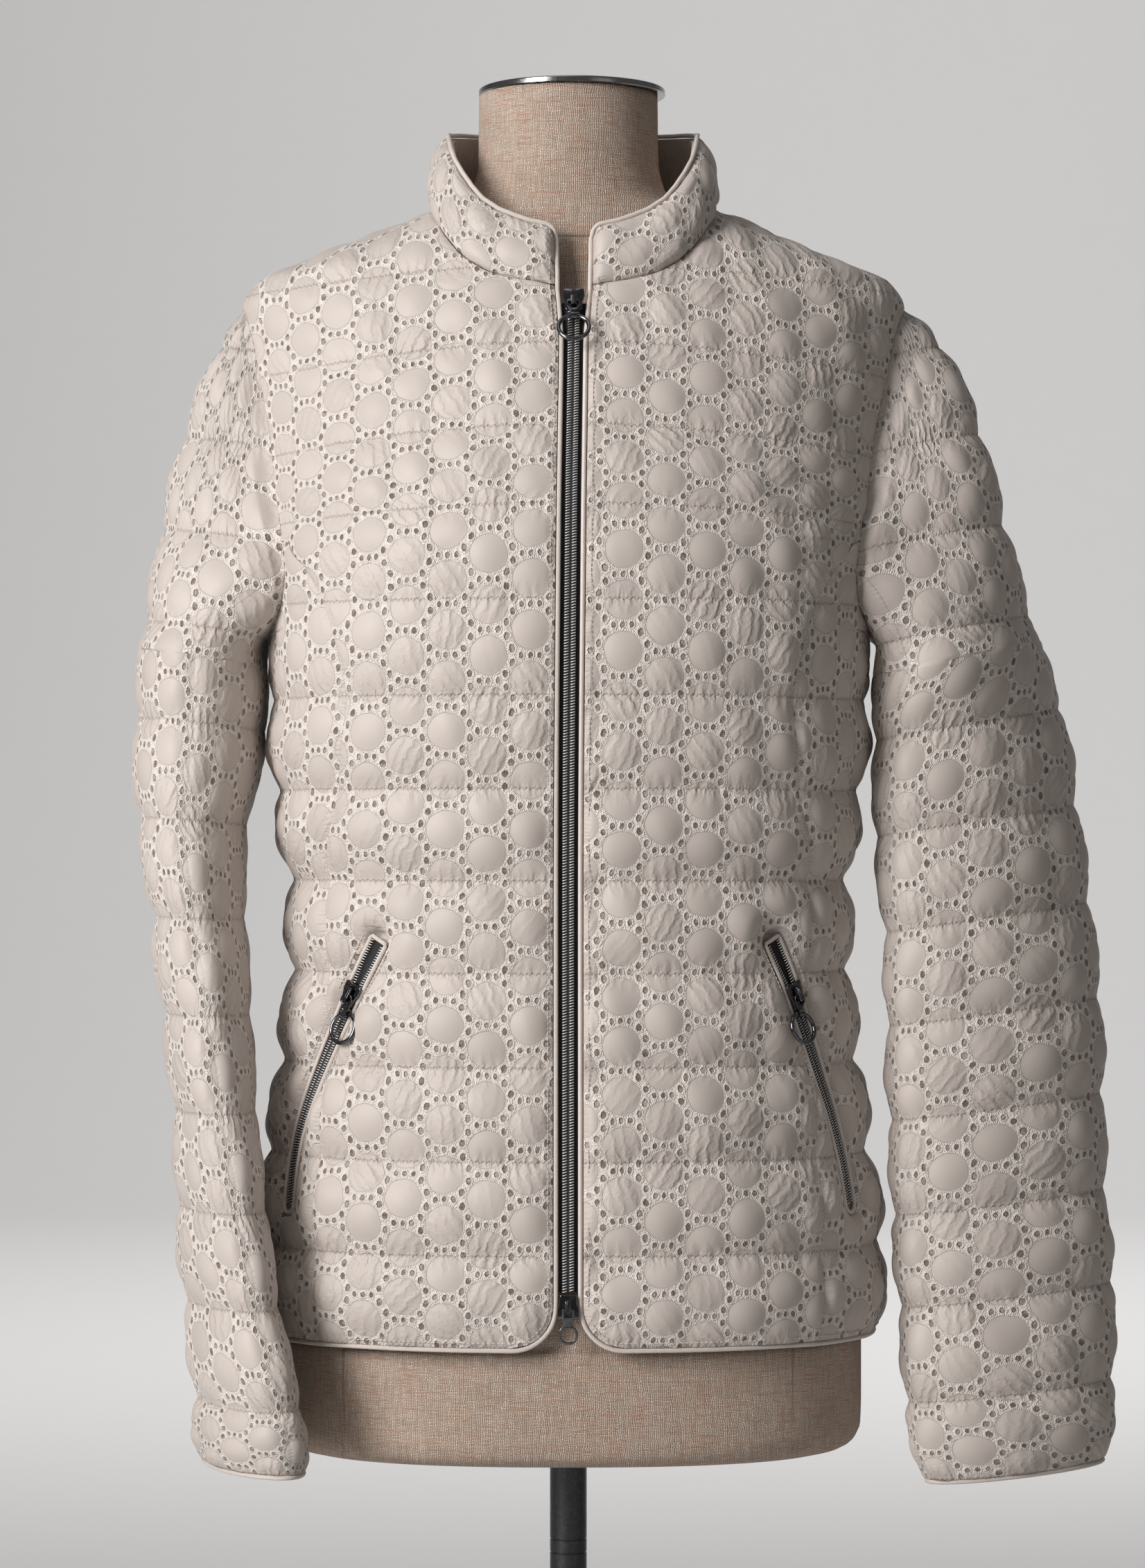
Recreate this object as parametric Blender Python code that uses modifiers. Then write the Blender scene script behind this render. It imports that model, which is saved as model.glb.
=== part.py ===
"""Quilted puffer jacket, zipped up, worn by a limbless linen dress form on a counter stand.

Metres, +Z up, front of the jacket towards -Y, the wearer's left towards +X.
The origin is the middle of the base plate's underside.
"""
import math

import bmesh
import bpy
import numpy as np
from mathutils import Matrix, Vector

OBJECT = "puffer_jacket_on_dress_form"
CM, MM = 0.01, 0.001

# ---------------------------------------------------------------- driving sizes
WALL = 2.0 * MM              # shell cloth with its wadding at a seam or quilting line
LINING_WALL = 1.0 * MM
GAP = 0.3 * MM               # between two pieces that meet
EDGE = 12.0 * MM             # the puff sinks over this width beside a seam
FACE = 3.6 * CM              # width of a flat face across a panel
NECK_FACES = 8               # faces along each half of the back neck
FRONT_PUFF, SIDE_PUFF, ARM_PUFF = 4.2 * MM, 6.5 * MM, 4.2 * MM
PIPE = 1.6 * MM              # radius of the piping round every edge

HEM_Z = 36.70 * CM           # cloth edge; its piping hangs below it
HEM_CORNER = 2.2 * CM        # radius of the rounded front corners
FRONT_EDGE = 8.1 * MM        # cloth edge to the middle of the zip
FRONT_OPEN = 10.5 * MM       # the same at the collar, above the slider
UNDERARM_Z, SHOULDER_Z, NECK_Z, HPS_Z = 74.8 * CM, 93.0 * CM, 93.4 * CM, 98.5 * CM
SIDE_TOP_Z = 79.7 * CM       # the side panel ends in the armhole here
UNDERARM_FADE = 5.0 * CM     # the puff sinks over this height below the armhole
PLAIN_FROM, PLAIN_TO = 39.0 * CM, 73.5 * CM          # the inner skin has fewer rows between these
SPARSE_FROM = 45.0 * CM      # and from here up to the same level fewer points in a row
CHEST_Z = 81.35 * CM         # the armhole's rows end at this quilting line
COLLAR_CORNER = 6.0 * MM

ZIP_HALF = 3.7 * MM          # half width of the closed chain
ZIP_TOP, ZIP_BOTTOM = 92.45 * CM, 39.35 * CM
TOP_SLIDER, BOTTOM_SLIDER = 92.45 * CM, 38.9 * CM
TAPE_HALF = 7.6 * MM

# quilting lines, from the hem up (the last one lies under the collar)
QUILT_Z = (36.75, 41.5, 46.47, 51.44, 56.41, 61.35, 66.25, 71.2, 76.27, 81.35, 85.67, 90.19,
           94.5, 98.8)

# the jacket's body at its quilting lines: one row a level, cm
BODY_COLUMNS = ("z", "half_width", "front", "back", "front_power", "back_power")
BODY_ROWS = (
    (36.0, 17.0, 12.2, 11.6, 2.40, 2.3),
    (42.0, 16.9, 12.2, 11.4, 2.40, 2.3),
    (47.0, 16.2, 12.1, 10.8, 2.40, 2.3),
    (52.0, 15.5, 11.8, 9.8, 2.40, 2.3),
    (57.0, 15.1, 11.5, 9.0, 2.40, 2.3),
    (61.0, 15.1, 11.4, 8.8, 2.40, 2.3),
    (65.0, 15.7, 11.7, 9.2, 2.40, 2.3),
    (70.0, 16.2, 12.3, 10.0, 2.38, 2.3),
    (74.8, 16.6, 12.8, 10.7, 2.35, 2.3),
    (79.0, 16.9, 12.7, 11.0, 2.30, 2.25),
    (82.0, 17.1, 12.2, 11.0, 2.15, 2.2),
    (85.7, 17.4, 10.8, 10.9, 1.97, 2.1),
    (89.0, 17.9, 9.7, 10.4, 1.87, 2.0),
    (92.0, 18.25, 8.7, 9.8, 1.80, 1.9),
    (93.0, 18.35, 8.3, 9.5, 1.78, 1.87),
    (94.5, 17.45, 7.7, 9.0, 1.75, 1.85),
    (95.5, 15.2, 7.3, 8.5, 1.74, 1.83),
    (96.5, 12.6, 6.9, 7.9, 1.73, 1.82),
    (97.5, 10.1, 6.5, 7.2, 1.72, 1.81),
    (98.5, 7.7, 6.1, 6.5, 1.70, 1.80),
    (99.0, 6.6, 5.9, 6.2, 1.70, 1.80),
)
# the dress form, clear of the cloth except along the shoulder line
FORM_ROWS = (
    (30.00, 14.4, 9.3, 9.0, 2.40, 2.3),
    (30.20, 15.2, 10.1, 9.8, 2.40, 2.3),
    (30.60, 15.8, 10.7, 10.4, 2.40, 2.3),
    (31.40, 16.15, 11.0, 10.7, 2.40, 2.3),
    (33.00, 16.2, 11.1, 10.8, 2.40, 2.3),
    (36.40, 16.2, 11.2, 10.8, 2.40, 2.3),
    (42.00, 15.8, 11.0, 10.5, 2.40, 2.3),
    (47.00, 15.1, 10.7, 9.8, 2.40, 2.3),
    (52.00, 14.2, 10.3, 8.8, 2.40, 2.3),
    (57.00, 13.3, 10.0, 8.0, 2.40, 2.3),
    (61.00, 13.1, 9.9, 7.7, 2.40, 2.3),
    (65.00, 13.6, 10.3, 8.1, 2.40, 2.3),
    (70.00, 14.8, 11.2, 9.1, 2.38, 2.3),
    (74.80, 15.7, 11.9, 9.9, 2.35, 2.3),
    (79.00, 16.2, 11.8, 10.3, 2.30, 2.25),
    (82.00, 16.5, 11.2, 10.3, 2.15, 2.2),
    (85.70, 16.9, 9.8, 10.2, 1.97, 2.1),
    (89.00, 17.3, 8.8, 9.7, 1.87, 2.0),
    (91.50, 17.35, 7.6, 8.9, 1.80, 1.9),
    (92.80, 17.25, 6.9, 8.2, 1.60, 1.65),
    (94.27, 16.75, 6.4, 7.8, 1.50, 1.55),
    (95.27, 15.02, 6.2, 7.5, 1.50, 1.55),
    (96.27, 12.44, 5.8, 7.0, 1.60, 1.60),
    (97.27, 9.90, 5.4, 6.4, 1.75, 1.75),
    (98.05, 7.50, 5.15, 5.7, 1.88, 1.9),
    (98.70, 6.10, 5.0, 5.2, 1.94, 1.95),
    (99.50, 5.35, 4.95, 5.0, 2.0, 2.0),
    (101.0, 5.00, 4.95, 4.95, 2.0, 2.0),
    (104.75, 4.95, 4.95, 4.95, 2.0, 2.0),
)
# armhole: how far it lies before and behind the side line, cm
ARMHOLE_COLUMNS = ("z", "before", "behind")
ARMHOLE_ROWS = (
    (74.80, 0.0, 0.0), (74.95, 2.4, 2.4), (75.5, 4.4, 4.6), (76.5, 5.6, 6.0), (78.0, 6.0, 6.8),
    (80.0, 5.6, 7.0), (83.0, 4.2, 6.4), (86.0, 3.1, 5.5), (89.0, 2.3, 4.3), (91.0, 1.7, 3.2),
    (92.5, 0.9, 1.6), (93.0, 0.0, 0.0),
)
# front neckline and princess seam, cm from the middle
NECKLINE = ((93.40, 1.05), (93.60, 2.5), (94.17, 4.6), (95.40, 6.3), (97.20, 7.4), (98.50, 7.7))
PRINCESS = ((36.0, 13.4), (42.0, 13.5), (47.0, 13.2), (52.0, 12.8), (57.0, 12.8), (62.0, 12.8),
            (66.0, 12.3), (71.0, 11.9), (75.0, 12.7), (78.0, 14.1), (80.0, 15.6))
# collar: share of the way from its front edge to the middle back, cm
COLLAR_COLUMNS = ("share", "height", "lean")
COLLAR_ROWS = ((0.0, 3.2, 0.9), (0.2, 3.4, 0.9), (0.45, 3.7, 0.7), (0.7, 4.4, 0.5), (1.0, 4.9, 0.3))
COLLAR_PUFF = 4.5 * MM

# arms: middle of each section, half sizes, turn of the front end inwards and tilt, cm and degrees
ARM_COLUMNS = ("z", "x", "y", "long", "short", "turn", "tilt")
LEFT_ARM = (                 # the wearer's left, turned so that its broad side faces forwards
    (73.5, 21.45, 0.0, 6.5, 3.95, 28, 12),
    (69.9, 22.05, -0.2, 6.4, 3.75, 45, 10),
    (64.6, 22.6, -0.6, 6.4, 3.55, 54, 9),
    (59.3, 23.15, -1.1, 6.35, 3.45, 58, 8),
    (54.1, 23.45, -1.5, 6.35, 3.30, 64, 7),
    (48.9, 23.6, -1.9, 6.25, 3.20, 66, 6.5),
    (43.7, 23.75, -2.3, 6.2, 3.10, 68, 6),
    (38.65, 23.95, -2.7, 6.05, 3.00, 70, 5.5),
    (33.45, 24.15, -3.1, 5.85, 2.85, 70, 5),
    (29.2, 24.45, -3.4, 5.3, 2.60, 70, 4.5),
)
RIGHT_ARM = (                # the wearer's right, seen edge on, its lower part lying forwards
    (73.5, 20.25, 0.0, 6.5, 3.30, 0, 8),
    (69.9, 20.3, -0.4, 6.4, 3.40, 0, 6),
    (64.6, 20.6, -1.3, 6.3, 2.80, 0, 4),
    (59.3, 20.2, -2.4, 6.2, 2.35, 2, 2),
    (54.1, 19.7, -3.6, 6.1, 2.25, 5, 1),
    (48.9, 19.15, -4.9, 6.0, 2.05, 8, 0),
    (43.7, 18.65, -6.3, 5.9, 2.00, 13, 0),
    (38.65, 18.05, -7.6, 5.75, 1.95, 18, -1),
    (33.45, 17.15, -8.7, 5.6, 2.00, 23, -1),
    (30.2, 16.85, -9.1, 5.35, 2.05, 26, -1),
)
ARM_LINES = {1: (73.5, 69.9, 64.6, 59.3, 54.1, 48.9, 43.7, 38.65, 33.45, 29.2),
             -1: (73.5, 69.9, 64.6, 59.3, 54.1, 48.9, 43.7, 38.65, 33.45, 30.2)}
ARM_PITCH = 5.2 * CM
FIRST_ARM_LINE = 75.1 * CM
FRONT_SEAM_Z, BACK_SEAM_Z = 78.1 * CM, 80.0 * CM     # where the sleeve seams meet the armhole
# how each sleeve's cap leaves the armhole, by side: its way outwards under the arm and over the
# shoulder (the rest of it is downwards), the share of the body's normal added, how far it is held
CAP_LEAVES = {1: (0.707, 0.707, 0.30, 0.87), -1: (0.707, 0.43, 0.20, 0.82)}
CAP_STEPS = (0.0, 0.08, 0.2, 0.34, 0.48, 0.62, 0.75, 0.88)
ARM_SIDES = 7                # faces across each half of a sleeve

# pocket zips: level and distance from the middle, wearer's right and left, cm
POCKET_COLUMNS = ("z", "right", "left")
POCKET_ROWS = (
    (58.1, 10.2, 11.0), (56.1, 11.2, 11.85), (54.6, 11.9, 12.35), (52.8, 12.7, 12.95),
    (50.8, 13.55, 13.6), (48.8, 14.3, 14.25), (47.1, 14.75, 14.7), (45.5, 15.0, 15.05),
    (43.9, 15.15, 15.3),
)
SLIT_HALF = 7.4 * MM         # half width of the slit that a pocket zip fills
LIP_HALF = 5.3 * MM          # its piping's middle line
POCKET_SLIDER = 0.20         # share of the way down the zip
POCKET_STEPS = 12
POCKET_CHAIN_HALF = 3.2 * MM

SWAY = ((36.0, 0.0), (60.0, 0.0), (80.0, 0.15), (93.0, 0.3), (98.5, 0.3), (105.2, 0.2))

FORM_SIDES = 6               # faces across each quarter of the form
POLE_R, FORM_BOTTOM, NECK_TOP = 10.2 * MM, 30.0 * CM, 104.75 * CM
CAP_R, CAP_THICK = 51.7 * MM, 3.5 * MM
BASE_R, BASE_THICK = 150.0 * MM, 9.0 * MM

COLOURS = {                  # base colour, roughness, metallic
    "shell": ((0.66, 0.58, 0.50), 0.75, 0.0), "lining": ((0.60, 0.53, 0.46), 0.55, 0.0),
    "piping": ((0.70, 0.62, 0.54), 0.6, 0.0), "tape": ((0.16, 0.14, 0.13), 0.8, 0.0),
    "nickel": ((0.16, 0.16, 0.17), 0.25, 1.0), "linen": ((0.40, 0.33, 0.25), 0.9, 0.0),
    "steel": ((0.03, 0.03, 0.032), 0.35, 1.0), "cap": ((0.45, 0.43, 0.41), 0.4, 1.0),
}


# ---------------------------------------------------------------- tables and curves
def smooth(xs, ys, x):
    """Value at x of a cubic through a table's rows that never overshoots them."""
    xs, ys = np.asarray(xs, float), np.asarray(ys, float)
    step = np.diff(xs)
    rise = np.diff(ys) / step
    slope = np.zeros(len(xs))
    same = rise[1:] * rise[:-1] > 0
    slope[1:-1][same] = 2 * (rise[1:] * rise[:-1])[same] / (rise[1:] + rise[:-1])[same]
    slope[0], slope[-1] = rise[0], rise[-1]
    x = np.clip(x, xs[0], xs[-1])
    i = np.clip(np.searchsorted(xs, x, "right") - 1, 0, len(step) - 1)
    t = (x - xs[i]) / step[i]
    return ((1 + 2 * t) * (1 - t) ** 2 * ys[i] + t * (1 - t) ** 2 * step[i] * slope[i]
            + t * t * (3 - 2 * t) * ys[i + 1] + t * t * (t - 1) * step[i] * slope[i + 1])


def read(rows, columns, name, z, unit=CM):
    """One column of a table at height z (metres), by its first column in cm."""
    data = np.array(rows)
    order = np.argsort(data[:, 0])
    values = data[order, columns.index(name)]
    return smooth(data[order, 0] * CM, values, z) * unit


def pair(rows, z):
    return smooth([r[0] * CM for r in rows], [r[1] * CM for r in rows], z)


def unit(v):
    return v / np.maximum(np.linalg.norm(v, axis=-1, keepdims=True), 1e-12)


class Torso:
    """A closed loft of level sections. q runs round it: 0 middle front, 1 the wearer's left side,
    2 middle back, and -1 the right side; it measures length evenly within each quarter."""

    QUARTER = 160

    def __init__(self, rows, low, high):
        self.z = np.linspace(low, high, int(round((high - low) / MM)) + 1)
        names = BODY_COLUMNS
        wide, front, back = (read(rows, names, n, self.z) for n in names[1:4])
        front_power, back_power = (read(rows, names, n, self.z, 1.0) for n in names[4:])
        turn = np.linspace(0.0, math.pi / 2, 240)
        share = np.linspace(0.0, 1.0, self.QUARTER + 1)
        quarters, self.lengths = [], []
        for depth, power, sign in ((front, front_power, -1), (back, back_power, 1)):
            e = 2.0 / power[:, None]
            x = wide[:, None] * np.sin(turn) ** e
            y = sign * depth[:, None] * np.abs(np.cos(turn)) ** e
            run = np.hypot(np.diff(x, axis=1), np.diff(y, axis=1)).cumsum(axis=1)
            run = np.hstack([np.zeros((len(x), 1)), run])
            at = [np.interp(share * r[-1], r, np.arange(len(turn))) for r in run]
            quarters.append([np.array([np.interp(a, np.arange(len(turn)), row)
                                       for a, row in zip(at, values)]) for values in (x, y)])
            self.lengths.append(run[:, -1])
        self.grid = [np.hstack([quarters[0][k], quarters[1][k][:, -2::-1]]) for k in (0, 1)]

    def point(self, q, z):
        q, z = np.broadcast_arrays(np.asarray(q, float), np.asarray(z, float))
        q = (q + 2.0) % 4.0 - 2.0
        side = np.where(q < 0, -1.0, 1.0)
        u = np.clip(np.abs(q) * self.QUARTER, 0, 2 * self.QUARTER - 1e-6)
        v = np.clip((z - self.z[0]) / MM, 0, len(self.z) - 1 - 1e-6)
        i, j = v.astype(int), u.astype(int)
        fi, fj = v - i, u - j
        x, y = (g[i, j] * (1 - fi) * (1 - fj) + g[i, j + 1] * (1 - fi) * fj
                + g[i + 1, j] * fi * (1 - fj) + g[i + 1, j + 1] * fi * fj for g in self.grid)
        return np.stack([side * x, y, z], axis=-1)

    def normal(self, q, z):
        dq, dz = 0.006, 1.0 * MM
        across = self.point(q + dq, z) - self.point(q - dq, z)
        up = self.point(q, np.minimum(z + dz, self.z[-1])) - self.point(q, z - dz)
        return unit(np.cross(across, up))

    def length(self, z, back=False):
        return np.interp(z, self.z, self.lengths[1 if back else 0])

    def q_at_x(self, x, z):
        row = self.point(np.linspace(0, 1, 201), z)[:, 0]
        return float(np.interp(x, row, np.linspace(0, 1, 201)))

    def q_at_y(self, y, z):
        """Where the section is y forward (negative) or behind the side line."""
        share = np.linspace(0, 2, 401)
        return float(np.interp(y, self.point(share, z)[:, 1], share))


body = Torso(BODY_ROWS, 0.360, 0.990)
form = Torso(FORM_ROWS, 0.300, 1.0475)


def quilt(z):
    """0 on a quilting line, 1 between two."""
    line = np.interp(z, np.array(QUILT_Z) * CM, np.arange(len(QUILT_Z)))
    return np.sin(math.pi * (line % 1.0)) ** 0.7


def flat(q, z):
    """Distances in the cloth near one side: along the level from the side line, and height."""
    q, z = np.asarray(q, float), np.asarray(z, float)
    along = np.where(q < 1, (q - 1) * body.length(z), (q - 1) * body.length(z, True))
    return np.stack([along, z], axis=-1)


def unflat(points):
    z = points[..., 1]
    along = points[..., 0]
    return 1 + np.where(along < 0, along / body.length(z), along / body.length(z, True)), z


def pocket_path(side):
    """The pocket zip's (q, z) on one side, top to bottom."""
    name = "left" if side > 0 else "right"
    levels = np.linspace(POCKET_ROWS[0][0], POCKET_ROWS[-1][0], POCKET_STEPS + 1) * CM
    x = read(POCKET_ROWS, POCKET_COLUMNS, name, levels)
    return np.array([body.q_at_x(a, b) for a, b in zip(x, levels)]), levels


POCKET_FLAT = {side: flat(*pocket_path(side)) for side in (1, -1)}


def from_slit(q, z):
    """Distance in the cloth from the edge of the nearest pocket slit."""
    q, z = np.broadcast_arrays(np.asarray(q, float), np.asarray(z, float))
    place = flat(np.abs(q), z)
    nearest = np.full(q.shape, np.inf)
    for side, path in POCKET_FLAT.items():
        for a, b in zip(path[:-1], path[1:]):
            t = np.clip(((place - a) @ (b - a)) / ((b - a) @ (b - a)), 0, 1)
            gap = np.linalg.norm(place - a - t[..., None] * (b - a), axis=-1)
            nearest = np.where(q * side > 0, np.minimum(nearest, gap), nearest)
    return np.maximum(nearest - SLIT_HALF, 0)


def body_puff(q, z, edge):
    """How far the padded cloth stands out, edge being the distance to the panel's side seams."""
    edge = np.minimum(edge, from_slit(q, z))
    side = np.sin(math.pi * np.abs(q) / 2) ** 2
    near = np.clip(1.6 * (1 - np.abs(np.abs(q) % 2 - 1) / 0.5), 0, 1)
    under = np.clip((UNDERARM_Z - z) / UNDERARM_FADE, 0, 1)
    height = (FRONT_PUFF + (SIDE_PUFF - FRONT_PUFF) * side) * (1 - near * (1 - under))
    return height * quilt(z) * np.minimum(edge / EDGE, 1) ** 0.6


def sway(points):
    """The garment hangs a little to the wearer's left at the shoulders."""
    points = np.array(points, float)
    points[..., 0] += pair(SWAY, points[..., 2])
    return points


# ---------------------------------------------------------------- seam lines of the body, as q(z)
def front_edge_x(z):
    x = np.interp(z, (90.5 * CM, NECK_Z), (FRONT_EDGE, FRONT_OPEN))
    if z < HEM_Z + HEM_CORNER:
        x += HEM_CORNER - math.sqrt(max(HEM_CORNER ** 2 - (HEM_CORNER - (z - HEM_Z)) ** 2, 0))
    return float(x)


def princess_q(z):
    return body.q_at_x(float(pair(PRINCESS, z)), z)


def armhole_q(z, back=False):
    name = "behind" if back else "before"
    y = float(read(ARMHOLE_ROWS, ARMHOLE_COLUMNS, name, z))
    return body.q_at_y(y if back else -y, z)


def front_inner_q(z):
    return body.q_at_x(front_edge_x(z) if z < NECK_Z else float(pair(NECKLINE, z)), z)


def front_outer_q(z):
    if z >= SHOULDER_Z:
        return 1.0
    return armhole_q(z) if z > SIDE_TOP_Z else princess_q(z)


def side_outer_q(z):
    return armhole_q(z) if z > UNDERARM_Z + MM else 1.0


def back_outer_q(z):
    return armhole_q(z, True) if UNDERARM_Z + MM < z < SHOULDER_Z - MM else 1.0


def body_levels():
    """Rows of the body: three to a quilting channel, more where an outline turns."""
    lines = [z * CM for z in QUILT_Z]
    rows = {HEM_Z, HEM_Z + 2 * MM, HEM_Z + 6 * MM, HEM_Z + 13 * MM}
    for low, high in zip(lines[:-3], lines[1:-2]):
        rows |= {low + (high - low) * t for t in (0.3, 0.7, 1.0)}
    rows -= {z for z in rows if PLAIN_TO < z < CHEST_Z and z not in lines}
    rows |= {z * CM for z in (73.0, 74.8, 74.95, 75.5, 77.1, 78.1, 79.0, 79.7, 80.0)}
    rows |= {z * CM for z in (91.65, 92.5, 93.0, 93.4, 93.6, 93.85, 94.17, 94.8, 95.5, 96.3, 97.0,
                              97.6, 98.1, 98.5)}
    return sorted(rows)


LEVELS = body_levels()
ZIP_LEVELS = [z for z in LEVELS if ZIP_BOTTOM + 3 * MM < z < ZIP_TOP - 3 * MM][::2]


# ---------------------------------------------------------------- mesh building
collection = bpy.data.collections.new(OBJECT)


def clear_scene():
    for obj in list(bpy.data.objects):
        bpy.data.objects.remove(obj, do_unlink=True)
    bpy.context.scene.collection.children.link(collection)


def material(kind):
    mat = bpy.data.materials.get(kind)
    if mat is None:
        colour, rough, metal = COLOURS[kind]
        mat = bpy.data.materials.new(kind)
        mat.use_nodes = True
        shader = mat.node_tree.nodes["Principled BSDF"]
        shader.inputs["Base Color"].default_value = (*colour, 1.0)
        shader.inputs["Roughness"].default_value = rough
        shader.inputs["Metallic"].default_value = metal
    return mat


def finish(name, mesh, kind, origin=None):
    """Link a mesh given in world places, its object's origin at a joint if one is named."""
    if origin is not None:
        mesh.transform(Matrix.Translation(-Vector(origin)))
    mesh.materials.clear()
    mesh.materials.append(material(kind).copy())
    obj = bpy.data.objects.new(name, mesh)
    obj.location = Vector(origin) if origin is not None else (0, 0, 0)
    collection.objects.link(obj)
    return obj


class Builder:
    """Collects shared points and triangles and makes one closed mesh of them."""

    def __init__(self):
        self.bm = bmesh.new()

    def row(self, points):
        return [self.bm.verts.new(p) for p in points]

    def strip(self, a, b, at_a=None, at_b=None, closed=False):
        """Triangles between two rows of points, matched by their places along the rows."""
        a, b = list(a), list(b)
        if closed:
            a, b = a + a[:1], b + b[:1]
        at_a = list(np.linspace(0, 1, len(a)) if at_a is None else at_a)
        at_b = list(np.linspace(0, 1, len(b)) if at_b is None else at_b)
        i = j = 0
        while i < len(a) - 1 or j < len(b) - 1:
            next_a = at_a[i + 1] if i < len(a) - 1 else math.inf
            next_b = at_b[j + 1] if j < len(b) - 1 else math.inf
            if next_a <= next_b:
                corners = (a[i], a[i + 1], b[j])
                i += 1
            else:
                corners = (a[i], b[j + 1], b[j])
                j += 1
            if len(set(corners)) == 3:
                self.bm.faces.new(corners)

    def mesh(self, name):
        bmesh.ops.recalc_face_normals(self.bm, faces=self.bm.faces)
        if self.bm.calc_volume(signed=True) < 0:
            bmesh.ops.reverse_faces(self.bm, faces=self.bm.faces)
        mesh = bpy.data.meshes.new(name)
        self.bm.to_mesh(mesh)
        self.bm.free()
        return mesh


def cloth(name, outer, inner, kind="shell", at=None, keep=None):
    """A wall of cloth between an outer and an inner skin, each a list of (points, places) rows.
    keep holds the outer rows' numbers that the inner skin's rows lie under."""
    build = Builder()
    keep = keep or range(len(outer))
    at = at or list(range(len(outer)))
    skins = []
    for skin in (outer, inner):
        rows = [(build.row(sway(points)), places) for points, places in skin]
        for (a, at_a), (b, at_b) in zip(rows[:-1], rows[1:]):
            build.strip(a, b, at_a, at_b)
        skins.append(rows)
    top, under = skins
    build.strip(top[0][0], under[0][0], top[0][1], under[0][1])
    build.strip(top[-1][0], under[-1][0], top[-1][1], under[-1][1])
    places = [at[k] for k in keep]
    for end in (0, -1):
        build.strip([r[0][end] for r in top], [r[0][end] for r in under], at, places)
    return finish(name, build.mesh(name), kind)


def sweep(name, rings, kind, closed=False, swayed=True):
    """A bar through rings of points, its ends closed unless it is a loop."""
    build = Builder()
    rows = [build.row(sway(r) if swayed else r) for r in rings]
    pairs = list(zip(rows, rows[1:] + rows[:1])) if closed else list(zip(rows[:-1], rows[1:]))
    for a, b in pairs:
        build.strip(a, b, closed=True)
    if not closed:
        build.bm.faces.new(rows[0])
        build.bm.faces.new(rows[-1])
    return finish(name, build.mesh(name), kind)


def even(width, fewest):
    """Places across a row: one close to each side seam and the rest evenly between them."""
    count = max(fewest, int(round(width / FACE)))
    e = min(EDGE / width, 0.25)
    return np.concatenate([[0.0], np.linspace(e, 1 - e, count - 1), [1.0]])


# ---------------------------------------------------------------- body panels
def panel(name, q_from, q_to, levels, back=False):
    """A body panel between two seam lines given as functions of height."""
    keep = [k for k, z in enumerate(levels)
            if not PLAIN_FROM <= z <= PLAIN_TO or k % 3 == 0 or k in (0, len(levels) - 1)]
    outer, inner = [], []
    for k, z in enumerate(levels):
        length = float(body.length(z, back))
        clear = GAP / 2 / length
        start, end = q_from(z), q_to(z)
        turn = 1 if end > start else -1
        start, end = start + turn * clear, end - turn * clear
        width = abs(end - start) * length
        t = even(width, 9 if back else 4) if z < HPS_Z else np.linspace(0, 1, 2 * NECK_FACES + 1)
        q = start + (end - start) * t
        edge = np.minimum(t, 1 - t) * width
        place, out = body.point(q, z), body.normal(q, z)
        outer.append((place + out * body_puff(q, z, edge)[:, None], t))
        if k in keep:
            sparse = SPARSE_FROM < z < PLAIN_TO
            few = [*range(0, len(t) - 1, 2), len(t) - 1] if sparse else slice(None)
            inner.append((place[few] - out[few] * WALL, t[few]))
    return cloth(name, outer, inner, at=list(levels), keep=keep)


def build_body():
    front_levels = [z for z in LEVELS if z < HPS_Z - MM]
    side_levels = [z for z in LEVELS if z <= SIDE_TOP_Z + 1e-6]
    for side, tag in ((1, "l"), (-1, "r")):
        panel(f"front_{tag}", lambda z: side * front_inner_q(z), lambda z: side * front_outer_q(z),
              front_levels)
        panel(f"side_front_{tag}", lambda z: side * princess_q(z), lambda z: side * side_outer_q(z),
              side_levels)
    panel("back", back_outer_q, lambda z: 4.0 - back_outer_q(z), LEVELS, back=True)


# ---------------------------------------------------------------- lines in the cloth, as (q, z)
def beside(q, z, distance, closed=False):
    """The same line moved sideways in the cloth, to the right of its run."""
    p = flat(q, z)
    if closed:
        tangent = np.roll(p, -1, axis=0) - np.roll(p, 1, axis=0)
    else:
        tangent = np.gradient(p, axis=0)
    tangent = unit(tangent)
    return unflat(p + np.stack([tangent[:, 1], -tangent[:, 0]], axis=-1) * distance)


def armhole_line():
    """The armhole as a loop: from the underarm up the front, over the shoulder, down the back."""
    rows = [z for z in LEVELS if UNDERARM_Z + MM < z < SHOULDER_Z - MM]
    q = [1.0] + [armhole_q(z) for z in rows] + [1.0] + [armhole_q(z, True) for z in rows[::-1]]
    z = [UNDERARM_Z] + rows + [SHOULDER_Z] + rows[::-1]
    return np.array(q), np.array(z)


def neck_line(count=NECK_FACES + 1):
    """Half the collar seam: from the front edge over the shoulder to the middle back."""
    rows = [z for z in LEVELS if NECK_Z - 1e-6 < z < HPS_Z - MM]
    q = [front_inner_q(z) for z in rows] + list(np.linspace(1, 2, count))
    return np.array(q), np.array(rows + [HPS_Z] * count)


# ---------------------------------------------------------------- sleeves
ARMHOLE_Q, ARMHOLE_Z = armhole_line()
HOLE_Q, HOLE_Z = beside(ARMHOLE_Q, ARMHOLE_Z, GAP * 1.2, closed=True)
HOLE, HOLE_OUT = body.point(HOLE_Q, HOLE_Z), body.normal(HOLE_Q, HOLE_Z)


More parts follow.
